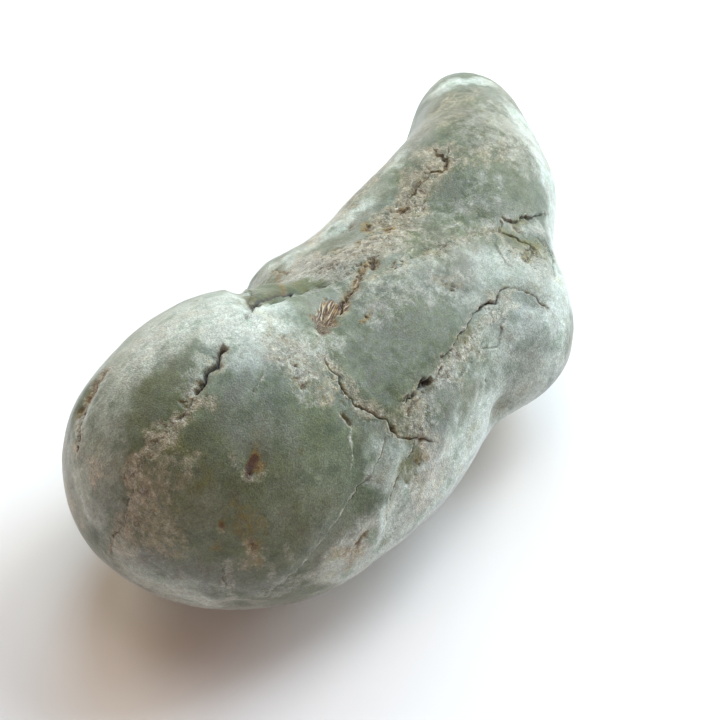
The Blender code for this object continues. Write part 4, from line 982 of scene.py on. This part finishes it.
def rawJadeite():
    # Raw jadeite with a river-worn, unpolished skin: satin where it is tight, frosted where the
    # crystals have opened, chalky and stained along the cracks.
    material = bpy.data.materials.new("raw jadeite, river-worn")
    material.use_nodes = True
    tree = material.node_tree
    shader = tree.nodes["Principled BSDF"]
    place = addNode(tree, "ShaderNodeTexCoord").outputs["Object"]

    # body colour: pale patches, then the tints and the mottling
    noises = {name: addNode(tree, "ShaderNodeTexNoise", {"Scale": 1000 / jade[name][0],
                                                         "Detail": jade[name][1],
                                                         "Roughness": jade[name][2]},
                            {"Vector": place}).outputs["Fac"]
              for name in ("patches", "mottling", "clouds", "crystals", "crumble", "dust")}
    noises["grains"] = addNode(tree, "ShaderNodeTexVoronoi", {"Scale": 1000 / jade["grain"]},
                               {"Vector": place}).outputs["Color"]
    patchShare = addNode(tree, "ShaderNodeMapRange", {"From Min": 0.38, "From Max": 0.62},
                         {"Value": noises["patches"]})
    body = addNode(tree, "ShaderNodeMix", {"data_type": "RGBA", 6: linearColour(jade["sage"]),
                                           7: linearColour(jade["paleSage"])},
                   {0: patchShare.outputs["Result"]})
    colour = body.outputs[2]
    for layer in jadeTints:
        colour = paintedOver(tree, colour, layer, place)
    for tint, low, high in (("green", 0.47, 0.36), ("tan", 0.53, 0.66)):
        share = addNode(tree, "ShaderNodeMapRange", {"From Min": low, "From Max": high, "To Max": 0.4},
                        {"Value": noises["mottling"]})
        colour = addNode(tree, "ShaderNodeMix", {"data_type": "RGBA", "blend_type": "OVERLAY",
                                                 7: linearColour(jade[tint])},
                         {0: share.outputs["Result"], 6: colour}).outputs[2]
    for layer in jadeLayers:
        colour = paintedOver(tree, colour, layer, place)

    # crust: broken crystals stand white over brown dirt
    rough = addNode(tree, "ShaderNodeAttribute", {"attribute_name": "rough"}).outputs["Fac"]
    for tint, low, high, most in (("dirt", 0.47, 0.36, 0.7), ("white", 0.54, 0.66, 0.75)):
        share = addNode(tree, "ShaderNodeMapRange", {"From Min": low, "From Max": high, "To Max": most},
                        {"Value": noises["crumble"]})
        shown = addNode(tree, "ShaderNodeMath", {"operation": "MULTIPLY"},
                        {0: share.outputs["Result"], 1: rough})
        colour = addNode(tree, "ShaderNodeMix", {"data_type": "RGBA", 7: linearColour(jade[tint])},
                         {0: shown.outputs[0], 6: colour}).outputs[2]

    # clouds, crystals and their sparkle over everything
    for name, spread in jade["spreads"].items():
        value = addNode(tree, "ShaderNodeMapRange",
                        {"From Min": 0.3, "From Max": 0.7, "To Min": 1 - spread, "To Max": 1 + spread},
                        {"Value": noises[name]})
        colour = addNode(tree, "ShaderNodeVectorMath", {"operation": "SCALE"},
                         {0: colour, 3: value.outputs["Result"]}).outputs[0]
    sparkle = addNode(tree, "ShaderNodeMapRange", {"From Min": 0.74, "From Max": 0.9, "To Max": 0.3},
                      {"Value": noises["grains"]})
    bright = addNode(tree, "ShaderNodeMath", {"operation": "MULTIPLY"},
                   {0: sparkle.outputs["Result"], 1: rough})
    colour = addNode(tree, "ShaderNodeMix", {"data_type": "RGBA", 7: linearColour(jade["fleck"])},
                     {0: bright.outputs[0], 6: colour}).outputs[2]

    # the ochre cluster's fibres: brown between them, white on their crests
    needle = addNode(tree, "ShaderNodeAttribute", {"attribute_name": "needle"}).outputs["Fac"]
    fan = addNode(tree, "ShaderNodeAttribute", {"attribute_name": "fan"}).outputs["Vector"]
    drawn = addNode(tree, "ShaderNodeVectorMath", {"operation": "MULTIPLY", 1: jade["fibre"]}, {0: fan})
    noises["fibre"] = addNode(tree, "ShaderNodeTexNoise",
                              {"Scale": 1.0, "Detail": 2.0, "Distortion": 0.3},
                              {"Vector": drawn.outputs["Vector"]}).outputs["Fac"]
    ramp = addNode(tree, "ShaderNodeValToRGB", {}, {"Fac": noises["fibre"]})
    stops = ramp.color_ramp.elements
    stops.remove(stops[0])
    for place01, hexCode in jade["fibres"]:
        stops.new(place01).color = linearColour(hexCode)
    stops.remove(stops[len(stops) - 1])
    colour = addNode(tree, "ShaderNodeMix", {"data_type": "RGBA"},
                     {0: needle, 6: colour, 7: ramp.outputs["Color"]}).outputs[2]
    tree.links.new(colour, shader.inputs["Base Color"])

    roughness = addNode(tree, "ShaderNodeMapRange",
                        {"From Min": 0.3, "From Max": 0.7, "To Min": jade["roughness"] - 0.1,
                         "To Max": jade["roughness"] + 0.15}, {"Value": noises["crystals"]})
    tree.links.new(roughness.outputs["Result"], shader.inputs["Roughness"])
    for name, value in jadeFinish.items():
        shader.inputs[name].default_value = value

    # relief too fine for the mesh: crystals everywhere, and far stronger where the skin is crumbly
    strength = addNode(tree, "ShaderNodeMapRange", {"To Min": jade["smoothRelief"], "To Max": 1.0},
                       {"Value": rough}).outputs["Result"]
    relief = {}
    for name, strong in (("grains", strength), ("dust", strength), ("crystals", None),
                         ("crumble", rough), ("fibre", needle)):
        links = {"Height": noises[name], **relief}
        if strong:
            links["Strength"] = strong
        bump = addNode(tree, "ShaderNodeBump", {"Strength": 0.25, "Distance": jade["relief"][name] * mm},
                       links)
        relief = {"Normal": bump.outputs["Normal"]}
    tree.links.new(relief["Normal"], shader.inputs["Normal"])
    return material


studio = {
    "floor": "#f4f3f1",
    "floorSize": 1.6,      # m
    "sky": "#ffa061",      # warm light returned by the room
    "skyStrength": 0.15,
    "lampSize": 0.35,      # m
    # name: place in m, power in W, colour; the far side is daylight, the left has a warm wall
    "lamps": {
        "window": ((0.393, -0.159, 0.506), 3.1, "#ddefff"),
        "windowLow": ((0.488, -0.368, 0.247), 2.5, "#d8f1ff"),
        "skylight": ((0.375, 0.199, 0.506), 1.9, "#b9e4ff"),
        "ceiling": ((0.051, 0.027, 0.657), 0.8, "#ffffff"),
        "farLeft": ((0.278, 0.545, 0.247), 1.9, "#fffbe4"),
        "farRight": ((0.607, -0.075, 0.247), 1.0, "#ffdc90"),
        "roomSide": ((-0.446, -0.237, 0.424), 0.65, "#fffaf5"),
    },
}


def buildStudio():
    bpy.ops.mesh.primitive_plane_add(size=studio["floorSize"])
    floor = bpy.context.object
    floor.name = "floor"
    paint = bpy.data.materials.new("white card")
    paint.use_nodes = True
    card = paint.node_tree.nodes["Principled BSDF"]
    card.inputs["Base Color"].default_value = linearColour(studio["floor"])
    card.inputs["Roughness"].default_value = 0.9
    floor.data.materials.append(paint)
    world = bpy.data.worlds.new("soft room")
    bpy.context.scene.world = world
    world.use_nodes = True
    sky = world.node_tree.nodes["Background"]
    sky.inputs["Color"].default_value = linearColour(studio["sky"])
    sky.inputs["Strength"].default_value = studio["skyStrength"]
    for name, (place, power, hexCode) in studio["lamps"].items():
        lamp = bpy.data.lights.new(name, "AREA")
        lamp.shape = "DISK"
        lamp.size = studio["lampSize"]
        lamp.energy = power
        lamp.color = linearColour(hexCode)[:3]
        lampObject = bpy.data.objects.new(name, lamp)
        lampObject.location = place
        lampObject.rotation_euler = (-Vector(place)).to_track_quat("-Z", "Y").to_euler()
        bpy.context.scene.collection.objects.link(lampObject)
    bpy.context.scene.view_settings.view_transform = "Standard"


def placeCamera():
    look = sheetAxes(camera)[0]
    lens = bpy.data.cameras.new("camera")
    lens.lens = camera["lens"]
    lens.sensor_width = 36
    lens.clip_start = 0.01
    eyeObject = bpy.data.objects.new("camera", lens)
    eyeObject.location = (Vector(camera["middle"]) - look * camera["distance"]) * mm
    eyeObject.rotation_euler = look.to_track_quat("-Z", "Y").to_euler()
    bpy.context.scene.collection.objects.link(eyeObject)
    bpy.context.scene.camera = eyeObject


placeCamera()
buildStudio()
print("studio ready")
stone = buildStone()
stone.data.materials.append(rawJadeite())
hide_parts(stoneNode)
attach(stone, "root")
